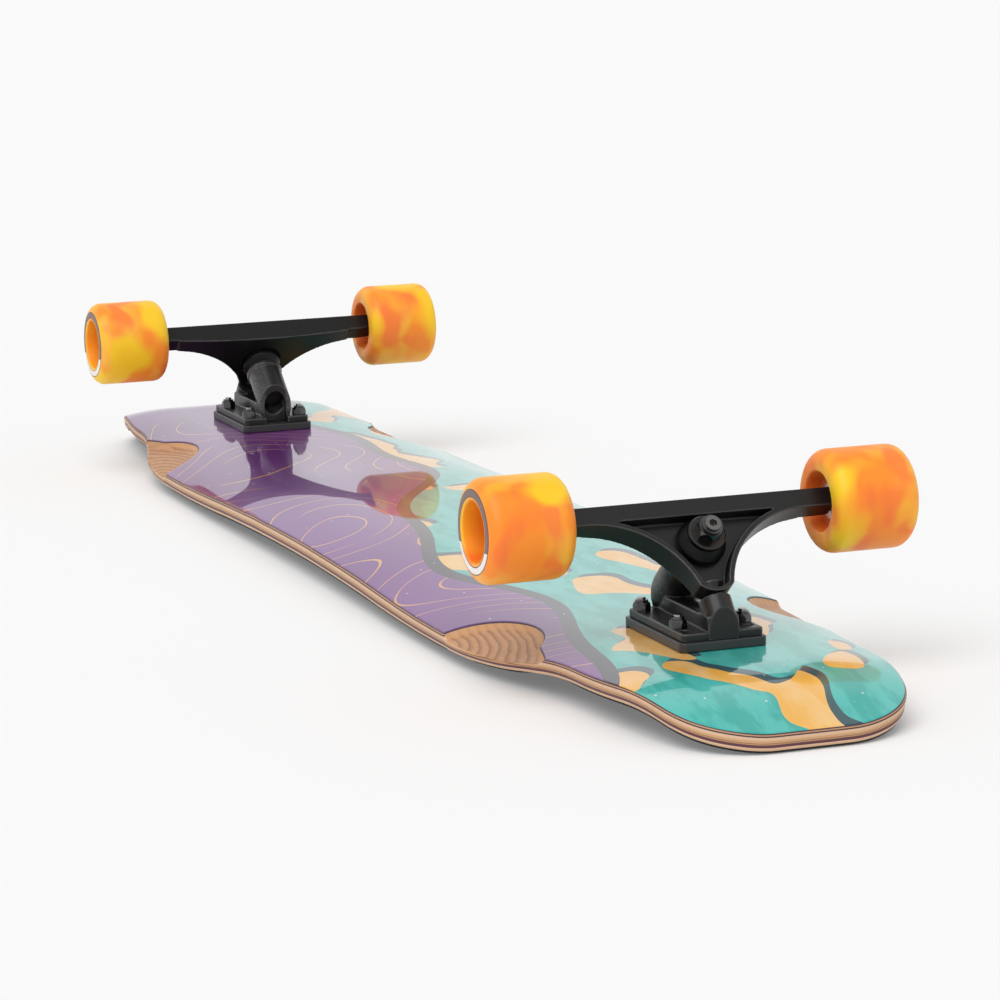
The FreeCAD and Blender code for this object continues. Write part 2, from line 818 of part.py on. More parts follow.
# The beam seen along the steering axis: straight in front, bowed behind and slimmer at its ends
def hanger_plan(half_depth, back):
    low = -size("beam_height") / 2

    def point(y, z):
        return FreeCAD.Vector(low, y, z)

    slim = -size("beam_end_back")
    corners = [point(hanger_end, slim), point(hanger_end, half_depth)]
    corners += [point(-hanger_end, half_depth), point(-hanger_end, slim)]
    edges = [line_edge(a, b) for a, b in zip(corners, corners[1:])]
    edges.append(arc_edge(corners[-1], point(0, -back), corners[0]))
    plan = Part.Face(Part.Wire(Part.__sortEdges__(edges)))
    return plan.extrude(FreeCAD.Vector(size("axle_height"), 0, 0))


# What is cut off behind, so that the hanger thins towards its tip
def tip_taper(back):
    far = size("pivot_reach")

    def point(x, z):
        return FreeCAD.Vector(x, -hanger_end, z)

    corners = [point(size("tip_taper_start"), -back), point(far, -size("tip_back"))]
    corners += [point(far, -2 * back), point(size("tip_taper_start"), -2 * back)]
    edges = [line_edge(a, b) for a, b in zip(corners, corners[1:] + corners[:1])]
    side = Part.Face(Part.Wire(Part.__sortEdges__(edges)))
    return side.extrude(FreeCAD.Vector(0, size("hanger_width"), 0))


def make_hanger(end, name):
    half_depth = size("beam_depth") / 2
    half_height = size("beam_height") / 2
    back = size("hanger_back")
    rake = size("rake")
    beam = Part.makeBox(
        size("beam_height"), size("hanger_width"), size("beam_depth"),
        FreeCAD.Vector(-half_height, -hanger_end, -half_depth),
    )
    tip = (size("tip_straight"), size("hanger_tip"))
    front = hanger_outline(0.0, -half_height, tip)
    front.translate(FreeCAD.Vector(0, 0, -back))
    body = beam.fuse(front.extrude(FreeCAD.Vector(0, 0, back + half_depth)))
    body = body.common(hanger_plan(half_depth, back)).cut(tip_taper(back))
    pocket_tip = (size("pocket_end") - size("pocket_wall"), size("pocket_end"))
    pocket_top = half_height - size("pocket_step")
    pocket = hanger_outline(size("pocket_wall"), pocket_top, pocket_tip)
    pocket.translate(FreeCAD.Vector(0, 0, web_high))
    body = body.cut(pocket.extrude(FreeCAD.Vector(0, 0, back + half_depth)))
    seat_radius = size("bushing_radius") + size("seat_gap")
    through = size("axle_height")
    at_kingpin = FreeCAD.Vector(size("kingpin_drop"), 0, web_low - through)
    seat = Part.makeCylinder(seat_radius, through, at_kingpin)
    hole = Part.makeCylinder(size("kingpin_hole"), 2 * through, at_kingpin)
    body = body.cut(seat).cut(hole)

    ball_radius = size("pivot_ball_radius")
    reach = size("pivot_reach")
    neck_start = reach - size("cup_mouth") - size("pivot_gap")
    nose = Part.makeCone(
        size("nose_radius"), ball_radius, neck_start - size("nose_start"),
        FreeCAD.Vector(size("nose_start"), 0, -rake), X_AXIS,
    )
    neck = Part.makeCylinder(
        ball_radius, reach - neck_start, FreeCAD.Vector(neck_start, 0, -rake), X_AXIS
    )
    tip_ball = Part.makeSphere(ball_radius, FreeCAD.Vector(reach, 0, -rake))
    body = body.fuse([nose, neck, tip_ball]).removeSplitter()
    axle_hole = Part.makeCylinder(
        size("axle_diameter") / 2 + size("seat_clearance"), size("hanger_width"),
        FreeCAD.Vector(0, -hanger_end, 0), Y_AXIS,
    )
    body = body.cut(axle_hole)
    node = made_shape(name + "_hanger", body)
    node.Placement = hanger_frame(end)


def make_axle(end, name):
    start = axle_frame(end, 1, -size("axle_length") / 2)
    named(cylinder("axle_diameter / 2", "axle_length", start), name + "_axle")
    bore = "axle_diameter / 2 + seat_clearance"
    nuts = []
    washers = []
    rings = []
    spacers = []
    for side in (-1, 1):
        seat = axle_frame(end, side, axle_nut_start)
        nuts.append(lock_nut("axle_nut_flats", "axle_nut_height", "axle_nut_collar", "axle_diameter", seat))
        for station in (hanger_end, outer_washer):
            spot = axle_frame(end, side, station)
            washers.append(ring("speed_washer_radius", bore, "speed_washer_thickness", spot))
        for station in (inner_bearing, outer_bearing):
            spot = axle_frame(end, side, station)
            plain = ring("inner_ring_radius", bore, "bearing_width", spot)
            rings.append(cut(plain, race(end, side, station)))
        spot = axle_frame(end, side, spacer_start)
        spacers.append(ring("spacer_radius", bore, "spacer_length", spot))
    group(name + "_axle_nuts", nuts)
    group(name + "_speed_washers", washers)
    group(name + "_bearing_inner_rings", rings)
    group(name + "_bearing_spacers", spacers)


# The ball groove of the bearing that starts at a station
def race(end, side, station):
    middle = axle_frame(end, side, station + size("bearing_width") / 2)
    return ring_torus("bearing_pitch_radius", "bearing_ball_radius + bearing_race_gap", middle)


def make_wheel(end, side, name):
    hub = axle_frame(end, side, inner_bearing)
    core_length = "2 * bearing_width + spacer_length"
    middle = "bearing_width + spacer_length / 2 + tyre_offset"
    face_in = "(%s - tyre_width / 2)" % middle
    face_out = "(%s + tyre_width / 2)" % middle
    tyre_corners = [
        ("core_radius", "0"),
        ("recess_radius", face_in),
        ("tyre_diameter / 2", face_in),
        ("tyre_diameter / 2", face_out),
        ("recess_radius", face_out),
        ("core_radius", core_length),
    ]
    rounds = [
        ("tyre_diameter / 2", face_in, "tyre_edge_radius"),
        ("tyre_diameter / 2", face_out, "tyre_edge_radius"),
        ("recess_radius", face_in, "recess_edge_radius"),
        ("recess_radius", face_out, "recess_edge_radius"),
    ]
    turned(name + "_tyre", tyre_corners, hub, rounds)
    seat = "bearing_outer_radius + seat_clearance"
    lip = "bearing_outer_radius - core_shoulder"
    core_outer = "core_radius - seat_clearance"
    far_seat = "bearing_width + spacer_length"
    core_corners = [
        (seat, "0"),
        (core_outer, "0"),
        (core_outer, core_length),
        (seat, core_length),
        (seat, far_seat),
        (lip, far_seat),
        (lip, "bearing_width"),
        (seat, "bearing_width"),
    ]
    turned(name + "_core", core_corners, hub)
    make_bearings(end, side, name)


def make_bearings(end, side, name):
    rings = []
    shields = []
    balls = []
    cages = []
    for station in (inner_bearing, outer_bearing):
        spot = axle_frame(end, side, station)
        plain = ring("bearing_outer_radius", "outer_ring_bore", "bearing_width", spot)
        rings.append(cut(plain, race(end, side, station)))
        inset = size("shield_inset")
        far = size("bearing_width") - inset - size("shield_thickness")
        for depth in (inset, far):
            spot = axle_frame(end, side, station + depth)
            outer = "outer_ring_bore - seat_clearance"
            shields.append(ring(outer, "inner_ring_radius + shield_gap", "shield_thickness", spot))
        middle = axle_frame(end, side, station + size("bearing_width") / 2)
        cage_low = axle_frame(end, side, station + (size("bearing_width") - size("cage_width")) / 2)
        cage = ring(
            "bearing_pitch_radius + cage_wall / 2", "bearing_pitch_radius - cage_wall / 2",
            "cage_width", cage_low,
        )
        for k in range(BALLS_PER_BEARING):
            turn = placed(axis=Z_AXIS, angle=FULL_TURN * k / BALLS_PER_BEARING)
            spot = middle.multiply(turn).multiply(placed(size("bearing_pitch_radius")))
            balls.append(ball("bearing_ball_radius", spot))
            inside = placed(size("bearing_pitch_radius") - size("cage_wall"), 0, 0, Y_AXIS, QUARTER_TURN)
            pocket_spot = middle.multiply(turn).multiply(inside)
            pocket = cylinder("bearing_ball_radius + bearing_race_gap", "2 * cage_wall", pocket_spot)
            cage = cut(cage, pocket)
        cages.append(cage)
    group(name + "_bearing_outer_rings", rings)
    group(name + "_bearing_shields", shields)
    group(name + "_bearing_balls", balls)
    group(name + "_bearing_cages", cages)


for board_end, end_name in ((1, "front"), (-1, "rear")):
    make_riser(board_end, end_name)
    make_bolts(board_end, end_name)
    make_baseplate(board_end, end_name)
    make_kingpin(board_end, end_name)
    make_hanger(board_end, end_name)
    make_axle(board_end, end_name)
    for board_side, side_name in ((-1, "left"), (1, "right")):
        make_wheel(board_end, board_side, "%s_%s" % (end_name, side_name))

doc.recompute()
for obj in doc.Objects:
    if "Invalid" in obj.State or "Error" in obj.State:
        raise RuntimeError("%s (%s) did not build" % (obj.Label, obj.Name))
for label, node in nodes.items():
    if node.Shape.isNull() or not node.Shape.isValid():
        raise RuntimeError("%s has no valid shape" % label)

os.makedirs("parts", exist_ok=True)
for label, node in nodes.items():
    node.Shape.exportStep("parts/%s.step" % label)
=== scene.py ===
import json
import math

import bmesh
import bpy
import numpy as np
from mathutils import Matrix, Vector


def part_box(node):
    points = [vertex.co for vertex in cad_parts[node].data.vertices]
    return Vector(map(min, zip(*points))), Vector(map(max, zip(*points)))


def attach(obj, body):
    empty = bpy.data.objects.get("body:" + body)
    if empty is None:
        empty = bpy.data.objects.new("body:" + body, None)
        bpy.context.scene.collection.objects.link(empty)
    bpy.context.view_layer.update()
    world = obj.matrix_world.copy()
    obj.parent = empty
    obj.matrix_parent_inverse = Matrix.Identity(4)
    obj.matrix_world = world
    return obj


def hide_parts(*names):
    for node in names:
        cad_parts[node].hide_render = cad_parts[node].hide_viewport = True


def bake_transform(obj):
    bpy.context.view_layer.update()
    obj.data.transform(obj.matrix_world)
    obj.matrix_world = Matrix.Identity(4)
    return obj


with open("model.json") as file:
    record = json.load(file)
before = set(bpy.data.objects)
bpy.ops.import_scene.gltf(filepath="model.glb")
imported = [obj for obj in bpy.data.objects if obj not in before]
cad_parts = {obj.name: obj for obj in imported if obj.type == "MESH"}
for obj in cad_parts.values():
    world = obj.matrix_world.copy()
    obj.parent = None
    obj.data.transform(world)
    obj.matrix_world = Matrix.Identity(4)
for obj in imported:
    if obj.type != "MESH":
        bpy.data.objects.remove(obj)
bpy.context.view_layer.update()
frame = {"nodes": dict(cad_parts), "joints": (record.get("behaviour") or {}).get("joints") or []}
MM = 0.001

# Deck sizes: lengths as in the part's source, edge and wells as they are seen
HALF_LENGTH = 596.0 * MM
END_START = 444.0 * MM
END_HALF = 90.0 * MM
END_SIDE_RADIUS = 450.0 * MM
END_CORNER_RADIUS = 56.0 * MM
SIDE_PLACES = np.array((0.0, 140.0, 270.0, 306.0, 353.0, 385.0, 410.0, 430.0, 446.0, 464.0)) * MM
SIDE_WIDTHS = np.array((112.5, 113.2, 114.4, 114.0, 110.8, 105.0, 97.8, 93.0, 90.7, 89.56)) * MM
DECK_THICKNESS = 10.6 * MM
CONCAVE_FLAT = 40.0 * MM
CONCAVE_RADIUS = 200.0 * MM
ROCKER_RISE = 5.5 * MM
ROCKER_REACH = 351.0 * MM
KICK_START = 511.0 * MM
KICK_RADIUS = 170.0 * MM
KICK_ANGLE = math.radians(20.5)
KICK_BEND = KICK_RADIUS * math.sin(KICK_ANGLE)
RIM_ROUND = 2.4 * MM
GRIP_INSET = 1.5 * MM
END_LEAN = 0.4
SIDE_LEAN_PLACES = np.array((180.0, 420.0)) * MM
SIDE_LEAN_SHARES = (0.3, 1.0)
SLOPE_STEP = 0.2 * MM
WELL_REACH = 359.5 * MM
WELL_AXIS = 131.0 * MM
WELL_RADIUS = 58.7 * MM
WELL_WALL = 8.0 * MM
WELL_WALL_POWER = 2.2
WELL_DEPTH = 5.0 * MM
WELL_TILT = 0.018
WELL_TAIL = 17.0 * MM
WELL_TAIL_START = math.radians(52.0)
WELL_TAIL_SWEEP = math.radians(22.0)
WELL_TAIL_POWER = 1.5
WELL_TAIL_SHALLOW = 0.5
VENEER_CENTRE = (-42.0 * MM, 18.0 * MM)
VENEER_REACH = (100.0 * MM, 36.0 * MM)
NO_VENEER_RUN = -1.0

# Mesh steps of the deck
STRAIGHT_ROWS = 60
WELL_ROWS = 170
WELL_MARGIN = 2.0 * MM
END_SIDE_ROWS = 20
CORNER_ROWS = 22
RAIL_START = 0.55
RAIL_COLUMNS = 56
MIDDLE_COLUMNS = 19
RIM_TURNS = (0.4, 0.8, 1.2)
WALL_STEPS = 7
DECK_SHARP = 50.0

# Wheel and bushing sizes, as in the part's source
WHEEL_START = 91.0 * MM
TYRE_RADIUS = 31.5 * MM
TYRE_EDGE = 8.5 * MM
TYRE_LIP = 1.6 * MM
TYRE_INNER_FACE = -8.0 * MM
TYRE_OUTER_FACE = 47.0 * MM
RECESS_RADIUS = 18.5 * MM
CORE_RADIUS = 16.0 * MM
CORE_LENGTH = 24.0 * MM
KINGPIN_DROP = 21.0 * MM
WEB_LOW = -7.0 * MM
WEB_HIGH = -1.0 * MM
BUSHING_HEIGHT = 13.0 * MM
BUSHING_BELT = BUSHING_HEIGHT / 3
BUSHING_BORE = 5.05 * MM
BUSHING_RADIUS = 15.0 * MM
BUSHING_TIP_RADIUS = 9.2 * MM
BUSHING_TIP_HEIGHT = 1.9 * MM
BUSHING_FOOT_RADIUS = 11.0 * MM
BUSHING_LIP = 0.8 * MM
BUSHING_EDGE = 1.0 * MM
BUSHING_SHOULDER = 2.0 * MM

# Mesh steps of the turned pieces
TURNED_SHARP = 40.0
TYRE_STEPS = 8
TYRE_SEGMENTS = 128
BUSHING_STEPS = 5
BUSHING_SEGMENTS = 64

# Soft edges of castings and pads
SOFT_VOXEL = 0.6 * MM
SOFT_SHARE = 0.5
CAST_ROUNDS = 4
PAD_ROUNDS = 5

# Ends, sides and joints of the board, and the height of its printed face
ENDS = (("front", 1), ("rear", -1))
SIDES = (("left", -1), ("right", 1))
JOINTS = {joint["name"]: joint for joint in frame["joints"]}
FACE_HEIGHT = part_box("front_riser_pad")[0].z

# Cast coat, pitted tower flanks painted lighter as painted light, and painted highlights on convex edges;
# textures here and below are (scale per metre, detail, roughness, distortion)
CAST_GRAIN = (900.0, 3.0, 0.6)
CAST_CLOUD = (45.0, 3.0)
CAST_PITS = (560.0, 2.0, 0.55)
CAST_ROUGH = (0.06, 0.08)
CAST_SHADES = (0.8, 1.25)
CAST_RELIEF = 0.5 * MM
CAST_GRAIN_SHARE = 0.06
CAST_SPECULAR = 0.36
# Painted highlight: convex edges, found by pointiness, painted a lighter grey
EDGE_HIGHLIGHT_CORNER = (0.512, 0.550)
EDGE_HIGHLIGHT_GREY = 0.070
TOWER_REACH = (408.0 * MM, 418.0 * MM)
TOWER_FLANK = (7.0 * MM, 10.0 * MM)
TOWER_FOOT = (FACE_HEIGHT + 13.0 * MM, FACE_HEIGHT + 16.0 * MM)
# Painted light: the tower flanks painted a lighter grey; the pits on them are the cast texture
FLANK_LIGHT_SHARE = 0.7
FLANK_LIGHT_GREY = 0.090
PIT_LEVELS = (0.52, 0.68)
PIT_GREY = 0.130

# Metal, mouldings and grit
TEXTURE_LEVELS = (0.3, 0.7)
MARKS = (900.0, 3.0)
MARK_STRETCH = (1.0, 6.0, 1.0)
MARK_RELIEF = 0.03 * MM
METAL_ROUGH = (0.08, 0.1)
METAL_CLOUD = (120.0, 2.0)
METAL_SHADE = 0.7
MOULD_GRAIN = (700.0, 3.0)
MOULD_CLOUD = (70.0, 2.0)
MOULD_ROUGH = (0.07, 0.07)
MOULD_SPECULAR = 0.5
MOULD_SHADE = 0.75
MOULD_RELIEF = 0.04 * MM
GRIT_SCALE = 1700.0
GRIT_RELIEF = 0.4 * MM
GRIT_ROUGHNESS = 0.75
GRIT_GREYS = ((0.0, 0.008), (0.8, 0.03), (1.0, 0.09))

# Urethane: the pour of its colours, the painted shade in the recess, and the printed ring on the outer face
POUR_STRETCH = (1.0, 0.62, 1.0)
POUR_BEND = (26.0, 1.0)
POUR_DRIFT = 30.0 * MM
POUR_STOPS = (0.34, 0.46, 0.54, 0.64)
SWIRL = (34.0, 1.6, 0.42)
PATCH = (27.0, 1.2, 0.4)
PATCH_STRETCH = ((1.0, 1.0, 0.8), (0.7, 0.2, 0.4))
PATCH_LEVELS = (0.50, 0.60)
PATCH_SHARE = 0.9
VEIN = (40.0, 1.5, 0.4)
VEIN_STRETCH = ((1.0, 1.0, 1.3), (0.1, 0.9, 0.6))
VEIN_LEVELS = (0.51, 0.63)
VEIN_SHARE = 0.8
# Painted shade in the recess: the radii over which it fades out, and its strength
RECESS_SHADE = (17.0 * MM, 20.0 * MM)
RECESS_SHARE = 0.75
RING_DEPTH = 6.0 * MM
RING_REACH = (20.3 * MM, 25.3 * MM)
RING_INSIDE = (20.9 * MM, 24.7 * MM)
RING_TINT = 0.30
ARC_LEVEL = -9.0 * MM
URETHANE_SKIN = (420.0, 3.0)
URETHANE_RELIEF = 0.02 * MM
URETHANE_ROUGHNESS = (0.36, 0.48)
URETHANE_SPECULAR = 0.35
SCATTER_SHARE = 0.35
SCATTER_RADIUS = (1.0, 0.5, 0.15)
SCATTER_DEPTH = 8.0 * MM

# Print of the deck: the dividing waves as (length, phase, height), the contour lines and the pebbles
WAVE_LONG = (0.56, 0.35, 0.026)
WAVE_SHORT = (0.21, 2.1, 0.008)
FIELD_TILT = 0.17
FIELD_SHIFT = 0.012
BORDER = (-0.007, 0.003)
HILL = (6.0, 0.0, 0.4)
HILL_LEVELS = (0.35, 0.65)
CONTOUR_COUNT = 15.0
CONTOUR_WIDTH = 0.05
CONTOUR_BREAKS = (11.0, 1.0)
CONTOUR_FADE = (0.42, 0.50)
CONTOUR_SHARE = 0.7
PEBBLES = (20.0, 0.6, 0.35, 0.25)
PEBBLE_STRETCH = (0.80, 1.20, 1.0)
PEBBLE_PLACE = (0.83, 0.47, 0.0)
PEBBLE_SHADE_PLACE = (0.8355, 0.4625, 0.0)
PEBBLE_LEVEL = 0.59
TONE = (7.0, 3.0, 0.6)
TONE_STRETCH = (3.0, 9.0, 1.0)
TEAL_LEVELS = (0.44, 0.56)
GOLD_LEVELS = (0.40, 0.62)
SPECK_SCALE = 70.0
SPECK_SIZE = 0.05
SPECK_SHARE = 0.7

# Wood of the deck: fibres, veneers along the edge and the scooped wells
FIBRES = (8.0, 3.0)
FIBRE_STRETCH = (30.0, 420.0, 420.0)
FIBRE_LEVELS = (0.45, 0.75)
FIBRE_SHARE = 0.28
FIBRE_RELIEF = 0.06 * MM
RIPPLES = (26.0, 2.0)
RIPPLE_DEPTH = 0.5 * MM
RIPPLE_AT_PRINT = 0.1
SWAY = (38.0, 2.0)
SWAY_DEPTH = 1.1
VENEER_COUNT = 8.5
GLUE_RISE = 0.10
GLUE_FALL = 0.60
GLUE_SHARE = 0.75
MAPLE = (5.0, 3.0)
MAPLE_STRETCH = (22.0, 60.0, 60.0)
WALL_DEPTHS = (3.0 * MM, 4.0 * MM)
WALL_SHARE = 0.7
DARK_TOP_DEPTH = 0.9 * MM
WELL_MARK = -0.001
PRINT_DEPTHS = (0.18 * MM, 0.26 * MM)
PRINT_ROUGHNESS = 0.32
WOOD_ROUGHNESS = 0.5
PRINT_COAT = 0.9
WOOD_COAT = 0.12
COAT_ROUGHNESS = 0.02
PRINT_SPECULAR = 0.2


# Mesh helpers
def new_piece(name, mesh):
    piece = bpy.data.objects.new(name, mesh)
    bpy.context.scene.collection.objects.link(piece)
    return piece


def smooth_shading(mesh, sharp_angle):
    mesh.shade_smooth()
    mesh.set_sharp_from_angle(angle=math.radians(sharp_angle))


def mesh_from(name, points, faces):
    mesh = bpy.data.meshes.new(name)
    mesh.from_pydata([tuple(p) for p in points], [], faces)
    work = bmesh.new()
    work.from_mesh(mesh)
    bmesh.ops.recalc_face_normals(work, faces=work.faces)
    work.to_mesh(mesh)
    work.free()
    return mesh


# A profile of (radius, station, rounding) corners with its corners rounded
def rounded_profile(corners, steps):
    points = []
    count = len(corners)
    for k, (radius, station, rounding) in enumerate(corners):
        here = Vector((radius, station))
        if rounding <= 0:
            points.append(here)
            continue
        before = (Vector(corners[k - 1][:2]) - here).normalized()
        after = (Vector(corners[(k + 1) % count][:2]) - here).normalized()
        half = before.angle(after) / 2
        reach = rounding / math.tan(half)
        centre = here + (before + after).normalized() * (rounding / math.sin(half))
        first = here + before * reach - centre
        sweep = first.angle_signed(here + after * reach - centre)
        for step in range(steps + 1):
            turn = Matrix.Rotation(-sweep * step / steps, 2)
            points.append(centre + turn @ first)
    return points


# A closed profile turned about the Z axis of a placement
def lathe(name, profile, placement, segments):
    count = len(profile)
    points = []
    for s in range(segments):
        angle = 2 * math.pi * s / segments
        for p in profile:
            points.append((p[0] * math.cos(angle), p[0] * math.sin(angle), p[1]))
    faces = []
    for s in range(segments):
        t = (s + 1) % segments
        for k in range(count):
            n = (k + 1) % count
            faces.append((s * count + k, s * count + n, t * count + n, t * count + k))
    piece = new_piece(name, mesh_from(name, points, faces))
    piece.matrix_world = placement
    return piece


# A cast or moulded copy of a CAD node: the same shape with soft edges
def softened_copy(node, name, rounds):
    piece = new_piece(name, frame["nodes"][node].data.copy())
    remesh = piece.modifiers.new("Skin", "REMESH")
    remesh.mode = "VOXEL"
    remesh.voxel_size = SOFT_VOXEL
    soften = piece.modifiers.new("Soften", "SMOOTH")
    soften.factor = SOFT_SHARE
    soften.iterations = rounds
    graph = bpy.context.evaluated_depsgraph_get()
    baked = bpy.data.meshes.new_from_object(piece.evaluated_get(graph))
    piece.modifiers.clear()
    piece.data = baked
    baked.materials.clear()
    baked.shade_smooth()
    return piece


def stand_in(piece, node, body, material):
    piece.data.materials.clear()
    piece.data.materials.append(material)
    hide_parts(node)
    if body:
        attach(piece, body)


# Sockets of a colour mix, and the middle of a ramp or of a noise
MIX_FIRST = 6
MIX_SECOND = 7
MIX_RESULT = 2
MIDDLE = 0.5


# Material helper: one node tree with short names for the nodes used here
class Looks:
    def __init__(self, name):
        self.material = bpy.data.materials.new(name)
        self.material.use_nodes = True
        self.tree = self.material.node_tree
        self.shader = self.tree.nodes["Principled BSDF"]

    def set(self, **values):
        for name, value in values.items():
            self.shader.inputs[name.replace("_", " ")].default_value = value

    def feed(self, socket, source):
        self.tree.links.new(source, self.shader.inputs[socket])

    def node(self, kind, **settings):
        made = self.tree.nodes.new(kind)
        for name, value in settings.items():
            setattr(made, name, value)
        return made

    def plug(self, target, value):
        if isinstance(value, bpy.types.NodeSocket):
            self.tree.links.new(value, target)
        else:
            target.default_value = value

    def math(self, operation, *values):
        made = self.node("ShaderNodeMath", operation=operation)
        for socket, value in zip(made.inputs, values):
            self.plug(socket, value)
        return made.outputs[0]

    def mix(self, factor, first, second):
        made = self.node("ShaderNodeMix", data_type="RGBA")
        self.plug(made.inputs[0], factor)
        self.plug(made.inputs[MIX_FIRST], first)
        self.plug(made.inputs[MIX_SECOND], second)
        return made.outputs[MIX_RESULT]

    def ramp(self, factor, stops, interpolation="LINEAR"):
        made = self.node("ShaderNodeValToRGB")
        made.color_ramp.interpolation = interpolation
        elements = made.color_ramp.elements
        while len(elements) < len(stops):
            elements.new(MIDDLE)
        for element, (place, colour) in zip(elements, stops):
            element.position = place
            element.color = colour
        self.plug(made.inputs[0], factor)
        return made.outputs[0]

    def place(self):
        return self.node("ShaderNodeTexCoord").outputs["Object"]

    def split(self, vector):
        made = self.node("ShaderNodeSeparateXYZ")
        self.plug(made.inputs[0], vector)
        return made.outputs

    def join(self, x, y, z):
        made = self.node("ShaderNodeCombineXYZ")
        for socket, value in zip(made.inputs, (x, y, z)):
            self.plug(socket, value)
        return made.outputs[0]

    def stretch(self, vector, scale, offset=(0.0, 0.0, 0.0)):
        made = self.node("ShaderNodeMapping")
        self.plug(made.inputs["Vector"], vector)
        made.inputs["Scale"].default_value = scale
        made.inputs["Location"].default_value = offset
        return made.outputs[0]

    def noise_node(self, vector, scale, detail=2.0, roughness=0.5, distortion=0.0):
        made = self.node("ShaderNodeTexNoise")
        self.plug(made.inputs["Vector"], vector)
        made.inputs["Scale"].default_value = scale
        made.inputs["Detail"].default_value = detail
        made.inputs["Roughness"].default_value = roughness
        made.inputs["Distortion"].default_value = distortion
        return made

    def noise(self, vector, *settings):
        return self.noise_node(vector, *settings).outputs["Fac"]

    def spots(self, vector, scale):
        made = self.node("ShaderNodeTexVoronoi")
        self.plug(made.inputs["Vector"], vector)
        made.inputs["Scale"].default_value = scale
        return made

    # A value brought from one range to another
    def spread(self, value, levels, low, high):
        made = self.node("ShaderNodeMapRange")
        for socket, item in zip(made.inputs, (value, levels[0], levels[1], low, high)):
            self.plug(socket, item)
        return made.outputs[0]

    # One where a value lies between two levels, and zero elsewhere
    def between(self, value, levels):
        above = self.math("GREATER_THAN", value, levels[0])
        below = self.math("LESS_THAN", value, levels[1])
        return self.math("MULTIPLY", above, below)

    # Roughness that a texture moves a little down and up
    def roughen(self, texture, middle, margins):
        rough = self.spread(texture, TEXTURE_LEVELS, middle - margins[0], middle + margins[1])
        self.feed("Roughness", rough)

    def bump(self, height, distance):
        made = self.node("ShaderNodeBump")
        made.inputs["Strength"].default_value = 1.0
        made.inputs["Distance"].default_value = distance
        self.plug(made.inputs["Height"], height)
        return made.outputs[0]


def grey(level):
    return (level, level, level, 1.0)


def shaded(colour, share):
    return tuple(c * share for c in colour[:3]) + (1.0,)


# Satin black coat over cast metal, rougher where the casting is left as it came, with painted light: the
# tower flanks painted lighter, and convex edges painted as highlights
def cast_looks(name, level, roughness, flank_pits_and_light):
    looks = Looks(name)
    place = looks.place()
    grain = looks.noise(place, *CAST_GRAIN)
    cloud = looks.noise(place, *CAST_CLOUD)
    coat = looks.mix(cloud, grey(level * CAST_SHADES[0]), grey(level * CAST_SHADES[1]))
    # Painted highlight: a lighter grey on convex edges stands in for the light caught by the rounded edges
    corner = looks.node("ShaderNodeNewGeometry").outputs["Pointiness"]
    edge_highlight = looks.spread(corner, EDGE_HIGHLIGHT_CORNER, 0.0, 1.0)

    # Flanks of the kingpin tower: pitted as cast, and painted a lighter grey as painted light on the flank
    x, y, z = looks.split(place)
    flank = looks.spread(looks.math("ABSOLUTE", x), TOWER_REACH, flank_pits_and_light, 0.0)
    flank = looks.math("MULTIPLY", flank, looks.spread(looks.math("ABSOLUTE", y), TOWER_FLANK, 0.0, 1.0))
    flank = looks.math("MULTIPLY", flank, looks.spread(z, TOWER_FOOT, 0.0, 1.0))
    coat = looks.mix(looks.math("MULTIPLY", flank, FLANK_LIGHT_SHARE), coat, grey(FLANK_LIGHT_GREY))
    pits = looks.noise(place, *CAST_PITS)
    skin = looks.math("MULTIPLY", flank, looks.spread(pits, PIT_LEVELS, 0.0, 1.0))
    coat = looks.mix(skin, coat, grey(PIT_GREY))

    looks.feed("Base Color", looks.mix(edge_highlight, coat, grey(EDGE_HIGHLIGHT_GREY)))
    looks.roughen(grain, roughness, CAST_ROUGH)
    fine = looks.math("MULTIPLY", grain, CAST_GRAIN_SHARE)
    depth = looks.math("ADD", fine, looks.math("MULTIPLY", pits, flank))
    looks.feed("Normal", looks.bump(depth, CAST_RELIEF))
    looks.set(Specular_IOR_Level=CAST_SPECULAR)
    return looks.material


# Plain steel and blackened steel with turning marks
def metal_looks(name, colour, roughness):
    looks = Looks(name)
    place = looks.place()
    marks = looks.noise(looks.stretch(place, MARK_STRETCH), *MARKS)
    cloud = looks.noise(place, *METAL_CLOUD)
    looks.feed("Base Color", looks.mix(cloud, shaded(colour, METAL_SHADE), colour))
    looks.roughen(marks, roughness, METAL_ROUGH)
    looks.feed("Normal", looks.bump(marks, MARK_RELIEF))
    looks.set(Metallic=1.0)
    return looks.material


# Moulded rubber or plastic
def moulded_looks(name, colour, roughness, specular=MOULD_SPECULAR):
    looks = Looks(name)
    place = looks.place()
    grain = looks.noise(place, *MOULD_GRAIN)
    cloud = looks.noise(place, *MOULD_CLOUD)
    looks.feed("Base Color", looks.mix(cloud, shaded(colour, MOULD_SHADE), colour))
    looks.roughen(grain, roughness, MOULD_ROUGH)
    looks.feed("Normal", looks.bump(grain, MOULD_RELIEF))
    looks.set(Specular_IOR_Level=specular)
    return looks.material


# Abrasive sheet: dense sparkling grit on black
def grit_looks(name):
    looks = Looks(name)
    grit = looks.spots(looks.place(), GRIT_SCALE)
    shades = [(stop, grey(level)) for stop, level in GRIT_GREYS]
    looks.feed("Base Color", looks.ramp(grit.outputs["Color"], shades))
    looks.feed("Normal", looks.bump(grit.outputs["Distance"], GRIT_RELIEF))
    looks.set(Roughness=GRIT_ROUGHNESS)
    return looks.material
